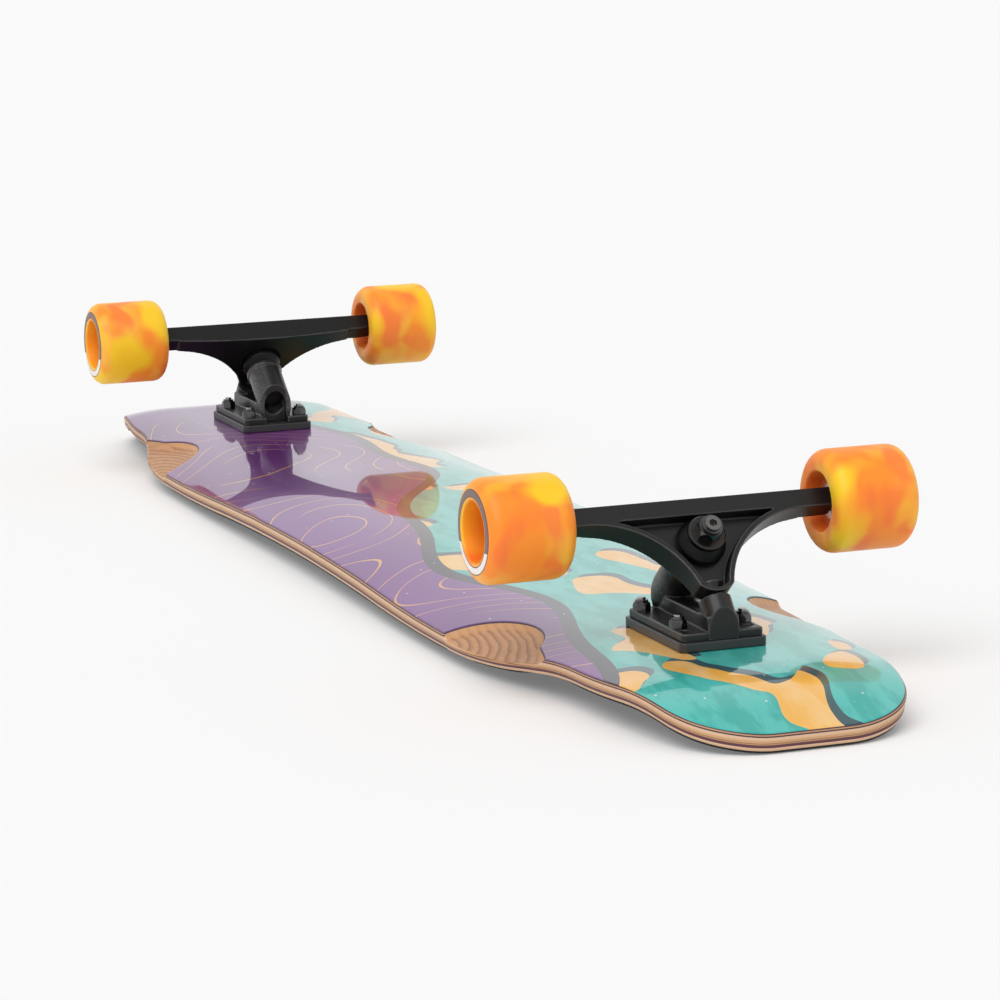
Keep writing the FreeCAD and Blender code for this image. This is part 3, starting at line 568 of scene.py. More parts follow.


# Marbled urethane, with the plain printed ring on its outer face and painted shade in its recess
def urethane_looks(name, offset):
    looks = Looks(name)
    place = looks.place()
    ember = (0.96, 0.195, 0.035, 1.0)
    orange = (1.0, 0.285, 0.022, 1.0)
    amber = (1.0, 0.380, 0.028, 1.0)
    honey = (1.0, 0.470, 0.050, 1.0)
    yellow = (1.0, 0.620, 0.015, 1.0)
    recess_shade_orange = (0.90, 0.135, 0.012, 1.0)
    dark_ink = (0.085, 0.055, 0.055, 1.0)
    warm_ink = (0.42, 0.30, 0.27, 1.0)
    pale_ink = (0.88, 0.84, 0.82, 1.0)

    # Pour of the colours
    moved = looks.stretch(place, POUR_STRETCH, offset)
    drift = looks.noise_node(moved, *POUR_BEND).outputs["Color"]
    bent = looks.node("ShaderNodeVectorMath", operation="MULTIPLY_ADD")
    looks.plug(bent.inputs[0], drift)
    bent.inputs[1].default_value = (POUR_DRIFT, POUR_DRIFT, POUR_DRIFT)
    looks.plug(bent.inputs[2], moved)
    pour = bent.outputs[0]
    swirl = looks.noise(pour, *SWIRL)
    patch = looks.noise(looks.stretch(pour, *PATCH_STRETCH), *PATCH)
    vein = looks.noise(looks.stretch(pour, *VEIN_STRETCH), *VEIN)
    body = looks.ramp(swirl, list(zip(POUR_STOPS, (orange, orange, amber, honey))))
    body = looks.mix(looks.spread(vein, VEIN_LEVELS, 0.0, VEIN_SHARE), body, ember)
    body = looks.mix(looks.spread(patch, PATCH_LEVELS, 0.0, PATCH_SHARE), body, yellow)

    # Painted shade: a deeper, darker orange painted in the recess round the core
    x, y, z = looks.split(place)
    square = looks.math("ADD", looks.math("MULTIPLY", x, x), looks.math("MULTIPLY", y, y))
    radius = looks.math("SQRT", square)
    body = looks.mix(looks.spread(radius, RECESS_SHADE, RECESS_SHARE, 0.0), body, recess_shade_orange)

    # Ring and pale arc on the outer face
    outer = looks.math("GREATER_THAN", z, TYRE_OUTER_FACE - RING_DEPTH)
    ring = looks.math("MULTIPLY", outer, looks.between(radius, RING_REACH))
    inside = looks.between(radius, RING_INSIDE)
    lower = looks.math("LESS_THAN", y, ARC_LEVEL)
    ring_ink = looks.mix(looks.math("MULTIPLY", inside, RING_TINT), dark_ink, warm_ink)
    ink = looks.mix(looks.math("MULTIPLY", inside, lower), ring_ink, pale_ink)
    looks.feed("Base Color", looks.mix(ring, body, ink))

    skin = looks.noise(place, *URETHANE_SKIN)
    looks.feed("Roughness", looks.spread(skin, TEXTURE_LEVELS, *URETHANE_ROUGHNESS))
    looks.feed("Normal", looks.bump(skin, URETHANE_RELIEF))
    looks.set(
        Subsurface_Weight=SCATTER_SHARE, Subsurface_Radius=SCATTER_RADIUS,
        Subsurface_Scale=SCATTER_DEPTH, Specular_IOR_Level=URETHANE_SPECULAR,
    )
    return looks.material


# Height along two equal arcs that step from one level to another
def stepped(along, start, end):
    run = end[0] - start[0]
    rise = end[1] - start[1]
    radius = (run ** 2 + rise ** 2) / (4 * abs(rise))
    sign = math.copysign(1.0, rise)
    near = np.clip(along - start[0], 0, run)
    far = run - near
    near_sag = radius - np.sqrt(radius ** 2 - np.minimum(near, run / 2) ** 2)
    far_sag = radius - np.sqrt(radius ** 2 - np.minimum(far, run / 2) ** 2)
    return np.where(near < run / 2, start[1] + sign * near_sag, end[1] - sign * far_sag)


def kick_slope(x):
    along = np.clip(np.abs(x) - KICK_START, 0, KICK_BEND)
    return np.arcsin(along / KICK_RADIUS)


# Side profile of the deck: rocker, level part and kick
def profile_height(x):
    along = np.abs(x)
    rocker = stepped(along, (0.0, ROCKER_RISE), (ROCKER_REACH, 0.0))
    bend = np.clip(along - KICK_START, 0, KICK_BEND)
    drop = KICK_RADIUS - np.sqrt(KICK_RADIUS ** 2 - bend ** 2)
    straight = np.clip(along - KICK_START - KICK_BEND, 0, None) * math.tan(KICK_ANGLE)
    return np.where(along < ROCKER_REACH, rocker, -drop - straight)


def concave_height(y, depth):
    beyond = np.clip(np.abs(y) - CONCAVE_FLAT, 0, None)
    return np.sqrt((CONCAVE_RADIUS - depth) ** 2 - beyond ** 2) - CONCAVE_RADIUS


# Height of the pressed layer at a depth below the printed face
def layer_height(x, y, depth):
    return FACE_HEIGHT + profile_height(x) + concave_height(y, depth) / np.cos(kick_slope(x))


# Lean of the deck's edge: the level part of the face's unit normal, less at mid-board and at the tips
def face_lean(x, y):
    rise_x = layer_height(x + SLOPE_STEP, y, 0.0) - layer_height(x - SLOPE_STEP, y, 0.0)
    rise_y = layer_height(x, y + SLOPE_STEP, 0.0) - layer_height(x, y - SLOPE_STEP, 0.0)
    slope_x = rise_x / (2 * SLOPE_STEP)
    slope_y = rise_y / (2 * SLOPE_STEP)
    length = np.sqrt(1 + slope_x ** 2 + slope_y ** 2)
    side_lean = np.interp(np.abs(x), SIDE_LEAN_PLACES, SIDE_LEAN_SHARES)
    return -END_LEAN * slope_x / length, -side_lean * slope_y / length


# Depth of the scooped wheel wells, and the run of the veneer lines across them
def well_cut(x, y):
    depth = np.zeros(np.shape(x))
    lines = np.zeros(np.shape(x))
    for _, end in ENDS:
        for _, side in SIDES:
            along = end * x - WELL_REACH
            inward = WELL_AXIS - side * y
            turn = (WELL_TAIL_START - np.arctan2(inward, along)) / WELL_TAIL_SWEEP
            tail = np.clip(turn, 0, 1) ** WELL_TAIL_POWER
            within = WELL_RADIUS + WELL_TAIL * tail - np.hypot(along, inward)
            share = np.clip(within / WELL_WALL, 0, 1)
            floor = (WELL_DEPTH + WELL_TILT * along) * (1 - WELL_TAIL_SHALLOW * tail)
            scoop = floor * (1 - (1 - share) ** WELL_WALL_POWER)
            run_x = (along - VENEER_CENTRE[0]) / VENEER_REACH[0]
            run_y = (inward - VENEER_CENTRE[1]) / VENEER_REACH[1]
            lines = np.where(scoop > depth, np.hypot(run_x, run_y), lines)
            depth = np.maximum(depth, scoop)
    return depth, lines


# Half width of the deck along its straight part
def half_width(x):
    slopes = np.gradient(SIDE_WIDTHS, SIDE_PLACES)
    slopes[0] = 0.0
    slopes[-1] = -(SIDE_PLACES[-1] - END_START) / END_SIDE_RADIUS
    k = np.clip(np.searchsorted(SIDE_PLACES, x) - 1, 0, len(SIDE_PLACES) - 2)
    run = SIDE_PLACES[k + 1] - SIDE_PLACES[k]
    t = np.clip((x - SIDE_PLACES[k]) / run, 0, 1)
    start = SIDE_WIDTHS[k] * (1 + 2 * t) * (1 - t) ** 2 + slopes[k] * run * t * (1 - t) ** 2
    return start + SIDE_WIDTHS[k + 1] * t ** 2 * (3 - 2 * t) - slopes[k + 1] * run * t ** 2 * (1 - t)


# Rows of (x, y, normal x, normal y) along an arc of the outline
def arc_rows(centre_x, centre_y, radius, angles):
    rows = []
    for angle in angles:
        sine, cosine = math.sin(angle), math.cos(angle)
        rows.append((centre_x + radius * sine, centre_y + radius * cosine, sine, cosine))
    return rows


# Plan outline of the deck's right side as rows of (x, y, normal x, normal y), rear to front
def outline_rows():
    corner_x = HALF_LENGTH - END_CORNER_RADIUS
    inner = END_SIDE_RADIUS - END_CORNER_RADIUS
    side_level = END_HALF - END_SIDE_RADIUS
    corner_y = side_level + math.sqrt(inner ** 2 - (corner_x - END_START) ** 2)
    turn = math.asin((corner_x - END_START) / inner)
    fine_start = WELL_REACH - WELL_RADIUS - WELL_MARGIN
    coarse = np.linspace(0.0, fine_start, STRAIGHT_ROWS, endpoint=False)
    fine = np.linspace(fine_start, SIDE_PLACES[-1], WELL_ROWS, endpoint=False)
    x = np.concatenate([coarse, fine])
    y = half_width(x)
    slope = np.gradient(y, x)
    length = np.hypot(slope, 1.0)
    rows = [(a, b, -c / d, 1.0 / d) for a, b, c, d in zip(x, y, slope, length)]
    first_turn = math.asin((SIDE_PLACES[-1] - END_START) / END_SIDE_RADIUS)
    side_turns = np.linspace(first_turn, turn, END_SIDE_ROWS, endpoint=False)
    rows += arc_rows(END_START, side_level, END_SIDE_RADIUS, side_turns)
    corner_turns = np.linspace(turn, math.pi / 2, CORNER_ROWS)
    rows += arc_rows(corner_x, corner_y, END_CORNER_RADIUS, corner_turns)
    rear = [(-a, b, -c, d) for a, b, c, d in reversed(rows[1:])]
    return np.array(rear + rows)


def column_shares():
    rail = np.linspace(RAIL_START, 1.0, RAIL_COLUMNS)
    middle = np.linspace(-RAIL_START, RAIL_START, MIDDLE_COLUMNS)
    return np.concatenate([-rail[::-1], middle[1:-1], rail])


# Loops of the deck's edge as (outward share of the rim round, depth below the face)
def edge_loops():
    loops = []
    for angle in (*RIM_TURNS, math.pi / 2):
        loops.append((math.sin(angle), RIM_ROUND * (1 - math.cos(angle))))
    for share in np.linspace(0.0, 1.0, WALL_STEPS)[1:-1]:
        loops.append((1.0, RIM_ROUND + share * (DECK_THICKNESS - 2 * RIM_ROUND)))
    for angle in (0.0, *RIM_TURNS):
        loops.append((math.cos(angle), DECK_THICKNESS - RIM_ROUND * (1 - math.sin(angle))))
    return loops


def build_deck():
    # Face and underside as a grid of rows and columns
    rows = outline_rows()
    shares = column_shares()
    row_count, column_count = len(rows), len(shares)
    inset_x = rows[:, 0] - RIM_ROUND * rows[:, 2]
    inset_y = rows[:, 1] - RIM_ROUND * rows[:, 3]
    x = np.repeat(inset_x[:, None], column_count, axis=1)
    y = inset_y[:, None] * shares[None, :]
    face = layer_height(x, y, 0.0)
    thick = face - layer_height(x, y, DECK_THICKNESS)
    scoop, lines = well_cut(x, y)
    lean_x, lean_y = face_lean(x, y)
    under_x = x - DECK_THICKNESS * lean_x
    under_y = y - DECK_THICKNESS * lean_y
    under = layer_height(under_x, under_y, DECK_THICKNESS)

    # Rim of the grid with its outward normals
    index = np.arange(row_count * column_count).reshape(row_count, column_count)
    rim = np.concatenate([index[:, -1], index[-1, -2:0:-1], index[::-1, 0], index[0, 1:-1]])
    normals = np.zeros((row_count, column_count, 2))
    normals[:, -1] = rows[:, 2:]
    normals[:, 0] = rows[:, 2:] * (1, -1)
    normals[-1, 1:-1] = (1, 0)
    normals[0, 1:-1] = (-1, 0)
    rim_normal = normals.reshape(-1, 2)[rim]
    rim_x, rim_y = x.ravel()[rim], y.ravel()[rim]
    rim_lean_x, rim_lean_y = lean_x.ravel()[rim], lean_y.ravel()[rim]
    rim_scoop = well_cut(rim_x, rim_y)[0]

    # Points of the face, of the edge's loops and of the underside
    points = [np.stack([x.ravel(), y.ravel(), (face - scoop).ravel()], axis=1)]
    depths = [(scoop * DECK_THICKNESS / thick).ravel()]
    loops = edge_loops()
    for outward, depth in loops:
        loop_x = rim_x + rim_normal[:, 0] * RIM_ROUND * outward - rim_lean_x * depth
        loop_y = rim_y + rim_normal[:, 1] * RIM_ROUND * outward - rim_lean_y * depth
        loop_face = layer_height(loop_x, loop_y, 0.0)
        loop_under = layer_height(loop_x, loop_y, DECK_THICKNESS)
        share = 1.0 - depth / DECK_THICKNESS
        loop_z = loop_under + (loop_face - rim_scoop - loop_under) * share
        points.append(np.stack([loop_x, loop_y, loop_z], axis=1))
        depths.append((loop_face - loop_z) / (loop_face - loop_under) * DECK_THICKNESS)
    points.append(np.stack([under_x.ravel(), under_y.ravel(), under.ravel()], axis=1))
    depths.append(np.full(x.size, DECK_THICKNESS))

    # Faces of the two grids and of the edge between them
    faces = []
    total = row_count * column_count
    loop_size = len(rim)
    last = total + len(loops) * loop_size
    for base in (0, last):
        quads = np.stack([index[:-1, :-1], index[1:, :-1], index[1:, 1:], index[:-1, 1:]], axis=-1)
        faces += [tuple(q) for q in (quads.reshape(-1, 4) + base).tolist()]
    rings = [total + k * loop_size + np.arange(loop_size) for k in range(len(loops))]
    rings = [rim] + rings + [rim + last]
    for first, second in zip(rings, rings[1:]):
        quads = np.stack([first, np.roll(first, -1), np.roll(second, -1), second], axis=-1)
        faces += [tuple(q) for q in quads.tolist()]
    mesh = mesh_from("deck_board", np.concatenate(points), faces)

    # Depth below the face, and the run of the veneer lines inside the wells
    attribute = mesh.attributes.new("ply_depth", "FLOAT", "POINT")
    attribute.data.foreach_set("value", np.concatenate(depths).astype(np.float32))
    marks = np.full(len(mesh.vertices), NO_VENEER_RUN, np.float32)
    marks[:total] = lines.ravel()
    marks[total:total + loop_size] = lines.ravel()[rim]
    mark = mesh.attributes.new("veneer_run", "FLOAT", "POINT")
    mark.data.foreach_set("value", marks)
    smooth_shading(mesh, DECK_SHARP)
    return new_piece("deck_board", mesh)


# Abrasive sheet laid on the leaning edge of the deck
def build_grip():
    mesh = frame["nodes"]["grip_tape"].data.copy()
    spots = np.empty(len(mesh.vertices) * 3)
    mesh.vertices.foreach_get("co", spots)
    spots = spots.reshape(-1, 3)
    x, y, z = spots.T.copy()
    limit = np.where(np.abs(x) < SIDE_PLACES[-1], half_width(np.abs(x)) - GRIP_INSET, np.abs(y))
    y_in = np.clip(y, -limit, limit)
    lean_x, lean_y = face_lean(x, y_in)
    spots[:, 0] = x - DECK_THICKNESS * lean_x
    spots[:, 1] = y_in - DECK_THICKNESS * lean_y
    lift = layer_height(spots[:, 0], spots[:, 1], DECK_THICKNESS) - layer_height(x, y, DECK_THICKNESS)
    spots[:, 2] = z + lift
    mesh.vertices.foreach_set("co", spots.ravel())
    mesh.update()
    return new_piece("grip_sheet", mesh)


# Print of the deck: two fields divided by a slow wave
def print_ink(looks, place):
    purple = (0.125, 0.020, 0.165, 1.0)
    violet = (0.175, 0.040, 0.235, 1.0)
    teal = (0.030, 0.400, 0.350, 1.0)
    sea = (0.070, 0.500, 0.445, 1.0)
    gold = (0.86, 0.440, 0.062, 1.0)
    sand = (0.88, 0.540, 0.190, 1.0)
    slate = (0.028, 0.085, 0.100, 1.0)
    night = (0.030, 0.026, 0.045, 1.0)
    cream = (0.90, 0.86, 0.78, 1.0)
    x, y, _ = looks.split(place)
    flat = looks.join(x, y, 0.0)

    def wave(length, phase, height):
        turn = looks.math("ADD", looks.math("MULTIPLY", x, 2 * math.pi / length), phase)
        return looks.math("MULTIPLY", looks.math("SINE", turn), height)

    def pebbles(offset):
        return looks.noise(looks.stretch(flat, PEBBLE_STRETCH, offset), *PEBBLES)

    # Dividing wave and the dark border along it
    swell = looks.math("ADD", wave(*WAVE_LONG), wave(*WAVE_SHORT))
    level = looks.math("ADD", looks.math("ADD", y, looks.math("MULTIPLY", x, FIELD_TILT)), swell)
    level = looks.math("ADD", level, FIELD_SHIFT)
    right = looks.math("GREATER_THAN", level, 0.0)
    border = looks.between(level, BORDER)

    # Left field: contour lines of a soft hill over purple
    hill = looks.noise(flat, *HILL)
    rings = looks.math("FRACT", looks.math("MULTIPLY", hill, CONTOUR_COUNT))
    line = looks.math("LESS_THAN", rings, CONTOUR_WIDTH)
    fade = looks.spread(looks.noise(flat, *CONTOUR_BREAKS), CONTOUR_FADE, 0.0, CONTOUR_SHARE)
    left_ink = looks.mix(looks.spread(hill, HILL_LEVELS, 0.0, 1.0), purple, violet)
    left_ink = looks.mix(looks.math("MULTIPLY", line, fade), left_ink, gold)

    # Right field: rounded pebbles over teal, each with a dark edge on one side
    stone = looks.math("GREATER_THAN", pebbles(PEBBLE_PLACE), PEBBLE_LEVEL)
    shade = looks.math("GREATER_THAN", pebbles(PEBBLE_SHADE_PLACE), PEBBLE_LEVEL)
    tone = looks.noise(looks.stretch(flat, TONE_STRETCH), *TONE)
    right_ink = looks.mix(looks.spread(tone, TEAL_LEVELS, 0.0, 1.0), teal, sea)
    right_ink = looks.mix(shade, right_ink, slate)
    pebble_ink = looks.mix(looks.spread(tone, GOLD_LEVELS, 0.0, 1.0), gold, sand)
    right_ink = looks.mix(stone, right_ink, pebble_ink)

    ink = looks.mix(right, left_ink, right_ink)
    ink = looks.mix(border, ink, night)
    dots = looks.spots(place, SPECK_SCALE).outputs["Distance"]
    speck = looks.math("LESS_THAN", dots, SPECK_SIZE)
    return looks.mix(looks.math("MULTIPLY", speck, SPECK_SHARE), ink, cream)


# Wood of the deck wherever the face is cut away
def cut_wood(looks, place, depth, fibre, ripple):
    dark_purple = (0.060, 0.042, 0.068, 1.0)
    pale = (0.760, 0.500, 0.320, 1.0)
    peach = (0.640, 0.380, 0.210, 1.0)
    tan = (0.520, 0.285, 0.140, 1.0)
    line_brown = (0.190, 0.080, 0.035, 1.0)
    wine = (0.120, 0.046, 0.070, 1.0)
    maple_dark = (0.470, 0.235, 0.115, 1.0)
    maple_light = (0.620, 0.345, 0.185, 1.0)
    glue_brown = (0.250, 0.118, 0.055, 1.0)
    wall_tan = (0.600, 0.330, 0.165, 1.0)

    # Veneers along the edge, from the print down to the tape
    share = looks.math("DIVIDE", looks.math("ADD", depth, ripple), DECK_THICKNESS)
    plies = (
        (0.000, dark_purple), (0.055, tan), (0.105, dark_purple), (0.165, pale), (0.330, peach),
        (0.470, line_brown), (0.500, tan), (0.570, wine), (0.730, pale), (0.930, dark_purple),
    )
    edge = looks.ramp(share, plies, "CONSTANT")
    edge = looks.mix(looks.spread(fibre, FIBRE_LEVELS, 0.0, FIBRE_SHARE), edge, line_brown)

    # Scooped wells: plain maple crossed by the thin lines of its veneers
    run = looks.node("ShaderNodeAttribute", attribute_name="veneer_run").outputs["Fac"]
    drift = looks.math("SUBTRACT", looks.noise(place, *SWAY), MIDDLE)
    sway = looks.math("MULTIPLY", drift, SWAY_DEPTH)
    phase = looks.math("FRACT", looks.math("ADD", looks.math("MULTIPLY", run, VENEER_COUNT), sway))
    rising = looks.spread(phase, (0.0, GLUE_RISE), 0.0, 1.0)
    falling = looks.spread(phase, (GLUE_RISE, GLUE_FALL), 1.0, 0.0)
    glue = looks.math("MULTIPLY", rising, falling)
    figure = looks.noise(looks.stretch(place, MAPLE_STRETCH), *MAPLE)
    scoop = looks.mix(figure, maple_dark, maple_light)
    scoop = looks.mix(looks.math("MULTIPLY", glue, GLUE_SHARE), scoop, glue_brown)
    wall = looks.spread(depth, WALL_DEPTHS, 1.0, 0.0)
    scoop = looks.mix(looks.math("MULTIPLY", wall, WALL_SHARE), scoop, wall_tan)
    # Dark purple along the top of the cut, just under the print
    scoop = looks.mix(looks.math("LESS_THAN", depth, DARK_TOP_DEPTH), scoop, dark_purple)
    return looks.mix(looks.math("GREATER_THAN", run, WELL_MARK), edge, scoop)


# Deck looks: the print under clear coat, and the veneers wherever the face is cut away
def deck_looks():
    looks = Looks("printed_laminate")
    place = looks.place()
    depth = looks.node("ShaderNodeAttribute", attribute_name="ply_depth").outputs["Fac"]
    fibre = looks.noise(looks.stretch(place, FIBRE_STRETCH), *FIBRES)
    unevenness = looks.math("SUBTRACT", looks.noise(place, *RIPPLES), MIDDLE)
    ripple = looks.math("MULTIPLY", unevenness, RIPPLE_DEPTH)
    ink = print_ink(looks, place)
    wood = cut_wood(looks, place, depth, fibre, ripple)
    print_edge = looks.math("ADD", depth, looks.math("MULTIPLY", ripple, RIPPLE_AT_PRINT))
    cut = looks.spread(print_edge, PRINT_DEPTHS, 0.0, 1.0)
    looks.feed("Base Color", looks.mix(cut, ink, wood))
    looks.feed("Roughness", looks.spread(cut, (0.0, 1.0), PRINT_ROUGHNESS, WOOD_ROUGHNESS))
    looks.feed("Normal", looks.bump(looks.math("MULTIPLY", fibre, cut), FIBRE_RELIEF))
    looks.feed("Coat Weight", looks.spread(cut, (0.0, 1.0), PRINT_COAT, WOOD_COAT))
    looks.set(Coat_Roughness=COAT_ROUGHNESS, Specular_IOR_Level=PRINT_SPECULAR)
    return looks.material


def build_wheel(name, side, material):
    hub = Vector(JOINTS[name + "_spin"]["pos_m"]) + Vector((0, side * WHEEL_START, 0))
    outward = Vector((0, side, 0))
    up = Vector((0, 0, 1))
    across = up.cross(outward)
    placement = Matrix((across, up, outward)).transposed().to_4x4()
    placement.translation = hub
    corners = (
        (CORE_RADIUS, 0.0, 0.0),
        (RECESS_RADIUS, TYRE_INNER_FACE, TYRE_LIP),
        (TYRE_RADIUS, TYRE_INNER_FACE, TYRE_EDGE),
        (TYRE_RADIUS, TYRE_OUTER_FACE, TYRE_EDGE),
        (RECESS_RADIUS, TYRE_OUTER_FACE, TYRE_LIP),
        (CORE_RADIUS, CORE_LENGTH, 0.0),
    )
    profile = rounded_profile(corners, TYRE_STEPS)
    piece = lathe(name + "_urethane", profile, placement, TYRE_SEGMENTS)
    smooth_shading(piece.data, TURNED_SHARP)
    stand_in(piece, name + "_tyre", name + "_wheel", material)


# Bushings between the board and the hanger
def build_bushings(end_name, end, material):
    axis = Vector(JOINTS[end_name + "_steer"]["axis"])
    kingpin = Vector((-end * axis.z, 0, end * axis.x))
    centre = Vector(JOINTS[end_name + "_left_spin"]["pos_m"]) + axis * KINGPIN_DROP
    across = Vector((0, 1, 0))
    placement = Matrix((across.cross(kingpin), across, kingpin)).transposed().to_4x4()
    road = (
        (BUSHING_BORE, 0.0, 0.0),
        (BUSHING_RADIUS, 0.0, BUSHING_EDGE),
        (BUSHING_RADIUS, BUSHING_BELT, BUSHING_SHOULDER),
        (BUSHING_TIP_RADIUS, BUSHING_HEIGHT - BUSHING_TIP_HEIGHT, BUSHING_LIP),
        (BUSHING_TIP_RADIUS, BUSHING_HEIGHT, 0.0),
        (BUSHING_BORE, BUSHING_HEIGHT, 0.0),
    )
    board = (
        (BUSHING_BORE, 0.0, 0.0),
        (BUSHING_FOOT_RADIUS, 0.0, BUSHING_LIP),
        (BUSHING_RADIUS, BUSHING_BELT, BUSHING_SHOULDER),
        (BUSHING_RADIUS, BUSHING_HEIGHT, BUSHING_EDGE),
        (BUSHING_BORE, BUSHING_HEIGHT, 0.0),
    )
    stacks = (
        ("roadside_bushing", road, WEB_HIGH, WEB_HIGH + BUSHING_HEIGHT, WEB_HIGH),
        ("boardside_bushing", board, WEB_LOW - BUSHING_HEIGHT, WEB_LOW - BUSHING_HEIGHT, WEB_LOW),
    )
    for kind, corners, base, board_station, web_station in stacks:
        spot = placement.copy()
        spot.translation = centre + kingpin * base
        node = "%s_%s" % (end_name, kind)
        profile = rounded_profile(corners, BUSHING_STEPS)
        piece = lathe(node + "_soft", profile, spot, BUSHING_SEGMENTS)
        smooth_shading(piece.data, TURNED_SHARP)
        stand_in(piece, node, None, material)
        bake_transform(piece)


# Materials
hanger_black = cast_looks("hanger_coat", level=0.0065, roughness=0.34, flank_pits_and_light=0.0)
base_black = cast_looks("baseplate_coat", level=0.0085, roughness=0.32, flank_pits_and_light=0.9)
riser_grey = moulded_looks("riser_rubber", (0.026, 0.026, 0.028, 1.0), roughness=0.36)
bushing_black = moulded_looks("bushing_urethane", (0.003, 0.003, 0.0035, 1.0), roughness=0.38, specular=0.2)
plastic_black = moulded_looks("pivot_plastic", (0.02, 0.02, 0.02, 1.0), roughness=0.5)
core_orange = moulded_looks("core_plastic", (0.62, 0.10, 0.012, 1.0), roughness=0.42)
bolt_steel = metal_looks("bolt_steel", (0.40, 0.40, 0.41, 1.0), roughness=0.22)
nut_black = metal_looks("nut_black", (0.110, 0.110, 0.114, 1.0), roughness=0.20)
washer_black = metal_looks("washer_black", (0.050, 0.047, 0.045, 1.0), roughness=0.24)
kingpin_steel = metal_looks("kingpin_steel", (0.20, 0.195, 0.19, 1.0), roughness=0.22)
axle_steel = metal_looks("axle_steel", (0.60, 0.60, 0.60, 1.0), roughness=0.30)
bearing_steel = metal_looks("bearing_steel", (0.66, 0.66, 0.65, 1.0), roughness=0.24)
shield_steel = metal_looks("shield_steel", (0.58, 0.58, 0.58, 1.0), roughness=0.32)
ball_steel = metal_looks("ball_steel", (0.80, 0.80, 0.80, 1.0), roughness=0.16)
cage_steel = metal_looks("cage_steel", (0.55, 0.47, 0.33, 1.0), roughness=0.35)
grip_black = grit_looks("grip_grit")

KEPT_LOOKS = {
    "mounting_bolts": bolt_steel,
    "mounting_nuts": nut_black,
    "pivot_cup": plastic_black,
    "kingpin": kingpin_steel,
    "kingpin_nut": nut_black,
    "cup_washers": washer_black,
    "axle": axle_steel,
    "axle_nuts": axle_steel,
    "speed_washers": bearing_steel,
    "bearing_inner_rings": bearing_steel,
    "bearing_spacers": bearing_steel,
    "core": core_orange,
    "bearing_outer_rings": bearing_steel,
    "bearing_shields": shield_steel,
    "bearing_balls": ball_steel,
    "bearing_cages": cage_steel,
}
for node, piece in frame["nodes"].items():
    for kind, material in KEPT_LOOKS.items():
        if node.endswith("_" + kind):
            piece.data.materials.clear()
            piece.data.materials.append(material)

# Pieces
WHEEL_SWIRLS = {
    "front_left": (0.31, 0.12, 0.47),
    "front_right": (0.83, 0.55, 0.21),
    "rear_left": (0.27, 0.61, 0.16),
    "rear_right": (0.52, 0.38, 0.95),
}
stand_in(build_deck(), "deck", "board", deck_looks())
stand_in(build_grip(), "grip_tape", "board", grip_black)
for end_name, end in ENDS:
    hanger = softened_copy(end_name + "_hanger", end_name + "_hanger_casting", CAST_ROUNDS)
    stand_in(hanger, end_name + "_hanger", end_name + "_hanger_unit", hanger_black)
    base = softened_copy(end_name + "_baseplate", end_name + "_baseplate_casting", CAST_ROUNDS)
    stand_in(base, end_name + "_baseplate", "board", base_black)
    riser = softened_copy(end_name + "_riser_pad", end_name + "_riser_moulding", PAD_ROUNDS)
    stand_in(riser, end_name + "_riser_pad", "board", riser_grey)
    build_bushings(end_name, end, bushing_black)
    for side_name, side in SIDES:
        name = "%s_%s" % (end_name, side_name)
        build_wheel(name, side, urethane_looks(name + "_marble", WHEEL_SWIRLS[name]))

# Floor, white surroundings and key light
FLOOR_SIZE = 30.0
FLOOR_CLOUD = 3.0
FLOOR_ROUGHNESS = 0.9
FLOOR_SHADES = (0.935, 0.945)
FLOOR_GLOW = 0.16
WHITE = 0.94
SKY_LIGHT = 0.60
DIM_PATCH = (-0.15, 0.30, 0.94)
DIM_LEVEL = 0.28
DIM_EDGE = (0.86, 0.985)
KEY_DIRECTION = (-0.45, 0.45, -0.9)
KEY_STRENGTH = 1.6
KEY_SPREAD = math.radians(50.0)


def build_floor():
    half = FLOOR_SIZE / 2
    corners = [(-half, -half, 0), (half, -half, 0), (half, half, 0), (-half, half, 0)]
    floor = new_piece("floor", mesh_from("floor", corners, [(0, 1, 2, 3)]))
    looks = Looks("floor_white")
    cloud = looks.noise(looks.place(), FLOOR_CLOUD)
    looks.feed("Base Color", looks.mix(cloud, grey(FLOOR_SHADES[0]), grey(FLOOR_SHADES[1])))
    looks.set(Roughness=FLOOR_ROUGHNESS, Specular_IOR_Level=0.0)
    glow = looks.node("ShaderNodeEmission")
    glow.inputs["Color"].default_value = grey(WHITE)
    path = looks.node("ShaderNodeLightPath")
    seen = looks.math("MAXIMUM", path.outputs["Is Camera Ray"], path.outputs["Is Glossy Ray"])
    seen = looks.math("MAXIMUM", seen, path.outputs["Is Transmission Ray"])
    blend = looks.node("ShaderNodeMixShader")
    looks.plug(blend.inputs[0], looks.math("MULTIPLY", seen, FLOOR_GLOW))
    looks.plug(blend.inputs[1], looks.shader.outputs[0])
    looks.plug(blend.inputs[2], glow.outputs[0])
    looks.plug(looks.tree.nodes["Material Output"].inputs["Surface"], blend.outputs[0])
    floor.data.materials.append(looks.material)


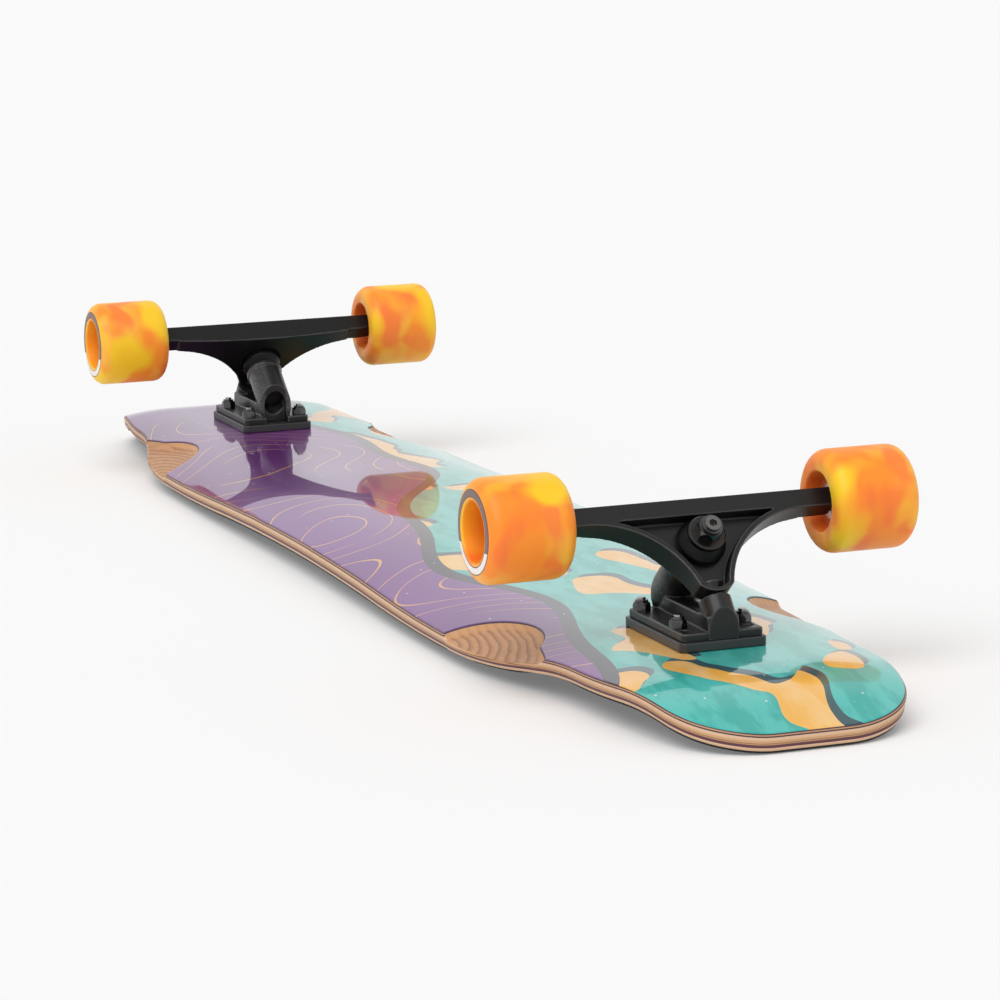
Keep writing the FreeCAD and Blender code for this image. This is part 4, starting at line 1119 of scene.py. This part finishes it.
# White all round, with a dimmer patch overhead that keeps reflections in the clear coat soft
def light_world():
    world = bpy.data.worlds.new("studio")
    bpy.context.scene.world = world
    world.use_nodes = True
    tree = world.node_tree
    background = tree.nodes["Background"]
    path = tree.nodes.new("ShaderNodeLightPath")

    def either(first, second):
        made = tree.nodes.new("ShaderNodeMath")
        made.operation = "MAXIMUM"
        tree.links.new(first, made.inputs[0])
        tree.links.new(second, made.inputs[1])
        return made.outputs[0]

    seen = either(path.outputs["Is Camera Ray"], path.outputs["Is Glossy Ray"])
    seen = either(seen, path.outputs["Is Transmission Ray"])
    ways = tree.nodes.new("ShaderNodeTexCoord")
    toward = tree.nodes.new("ShaderNodeVectorMath")
    toward.operation = "DOT_PRODUCT"
    tree.links.new(ways.outputs["Generated"], toward.inputs[0])
    toward.inputs[1].default_value = DIM_PATCH
    dome = tree.nodes.new("ShaderNodeMapRange")
    dome.interpolation_type = "SMOOTHSTEP"
    dome.inputs["From Min"].default_value = DIM_EDGE[0]
    dome.inputs["From Max"].default_value = DIM_EDGE[1]
    dome.inputs["To Min"].default_value = WHITE
    dome.inputs["To Max"].default_value = DIM_LEVEL
    tree.links.new(toward.outputs["Value"], dome.inputs[0])
    strength = tree.nodes.new("ShaderNodeMapRange")
    tree.links.new(seen, strength.inputs[0])
    strength.inputs["To Min"].default_value = SKY_LIGHT
    tree.links.new(dome.outputs[0], strength.inputs["To Max"])
    tree.links.new(strength.outputs[0], background.inputs["Strength"])
    background.inputs["Color"].default_value = grey(1.0)


def light_key():
    lamp = bpy.data.lights.new("key", "SUN")
    lamp.energy = KEY_STRENGTH
    lamp.angle = KEY_SPREAD
    holder = bpy.data.objects.new("key", lamp)
    bpy.context.scene.collection.objects.link(holder)
    holder.rotation_mode = "QUATERNION"
    holder.rotation_quaternion = Vector(KEY_DIRECTION).to_track_quat("-Z", "Y")


build_floor()
light_world()
light_key()

# Camera at the photograph's viewpoint
CAMERA_PLACE = Vector((2.4878, -0.9088, 0.5043 + FACE_HEIGHT))
CAMERA_YAW = math.radians(20.91)
CAMERA_PITCH = math.radians(10.61)
CAMERA_ROLL = math.radians(-0.87)
CAMERA_LENS = 139.5
CAMERA_SENSOR = 36.0
CAMERA_REACH = 100.0


def build_camera():
    data = bpy.data.cameras.new("camera")
    data.sensor_width = CAMERA_SENSOR
    data.lens = CAMERA_LENS
    data.clip_end = CAMERA_REACH
    camera = bpy.data.objects.new("camera", data)
    bpy.context.scene.collection.objects.link(camera)
    forward = Vector((
        -math.cos(CAMERA_YAW) * math.cos(CAMERA_PITCH),
        math.sin(CAMERA_YAW) * math.cos(CAMERA_PITCH),
        -math.sin(CAMERA_PITCH),
    ))
    right = forward.cross(Vector((0, 0, 1))).normalized()
    up = right.cross(forward)
    cosine, sine = math.cos(CAMERA_ROLL), math.sin(CAMERA_ROLL)
    rolled_right = cosine * right + sine * up
    rolled_up = -sine * right + cosine * up
    matrix = Matrix((rolled_right, rolled_up, -forward)).transposed().to_4x4()
    matrix.translation = CAMERA_PLACE
    camera.matrix_world = matrix
    bpy.context.scene.camera = camera


build_camera()
bpy.context.scene.view_settings.view_transform = "Standard"
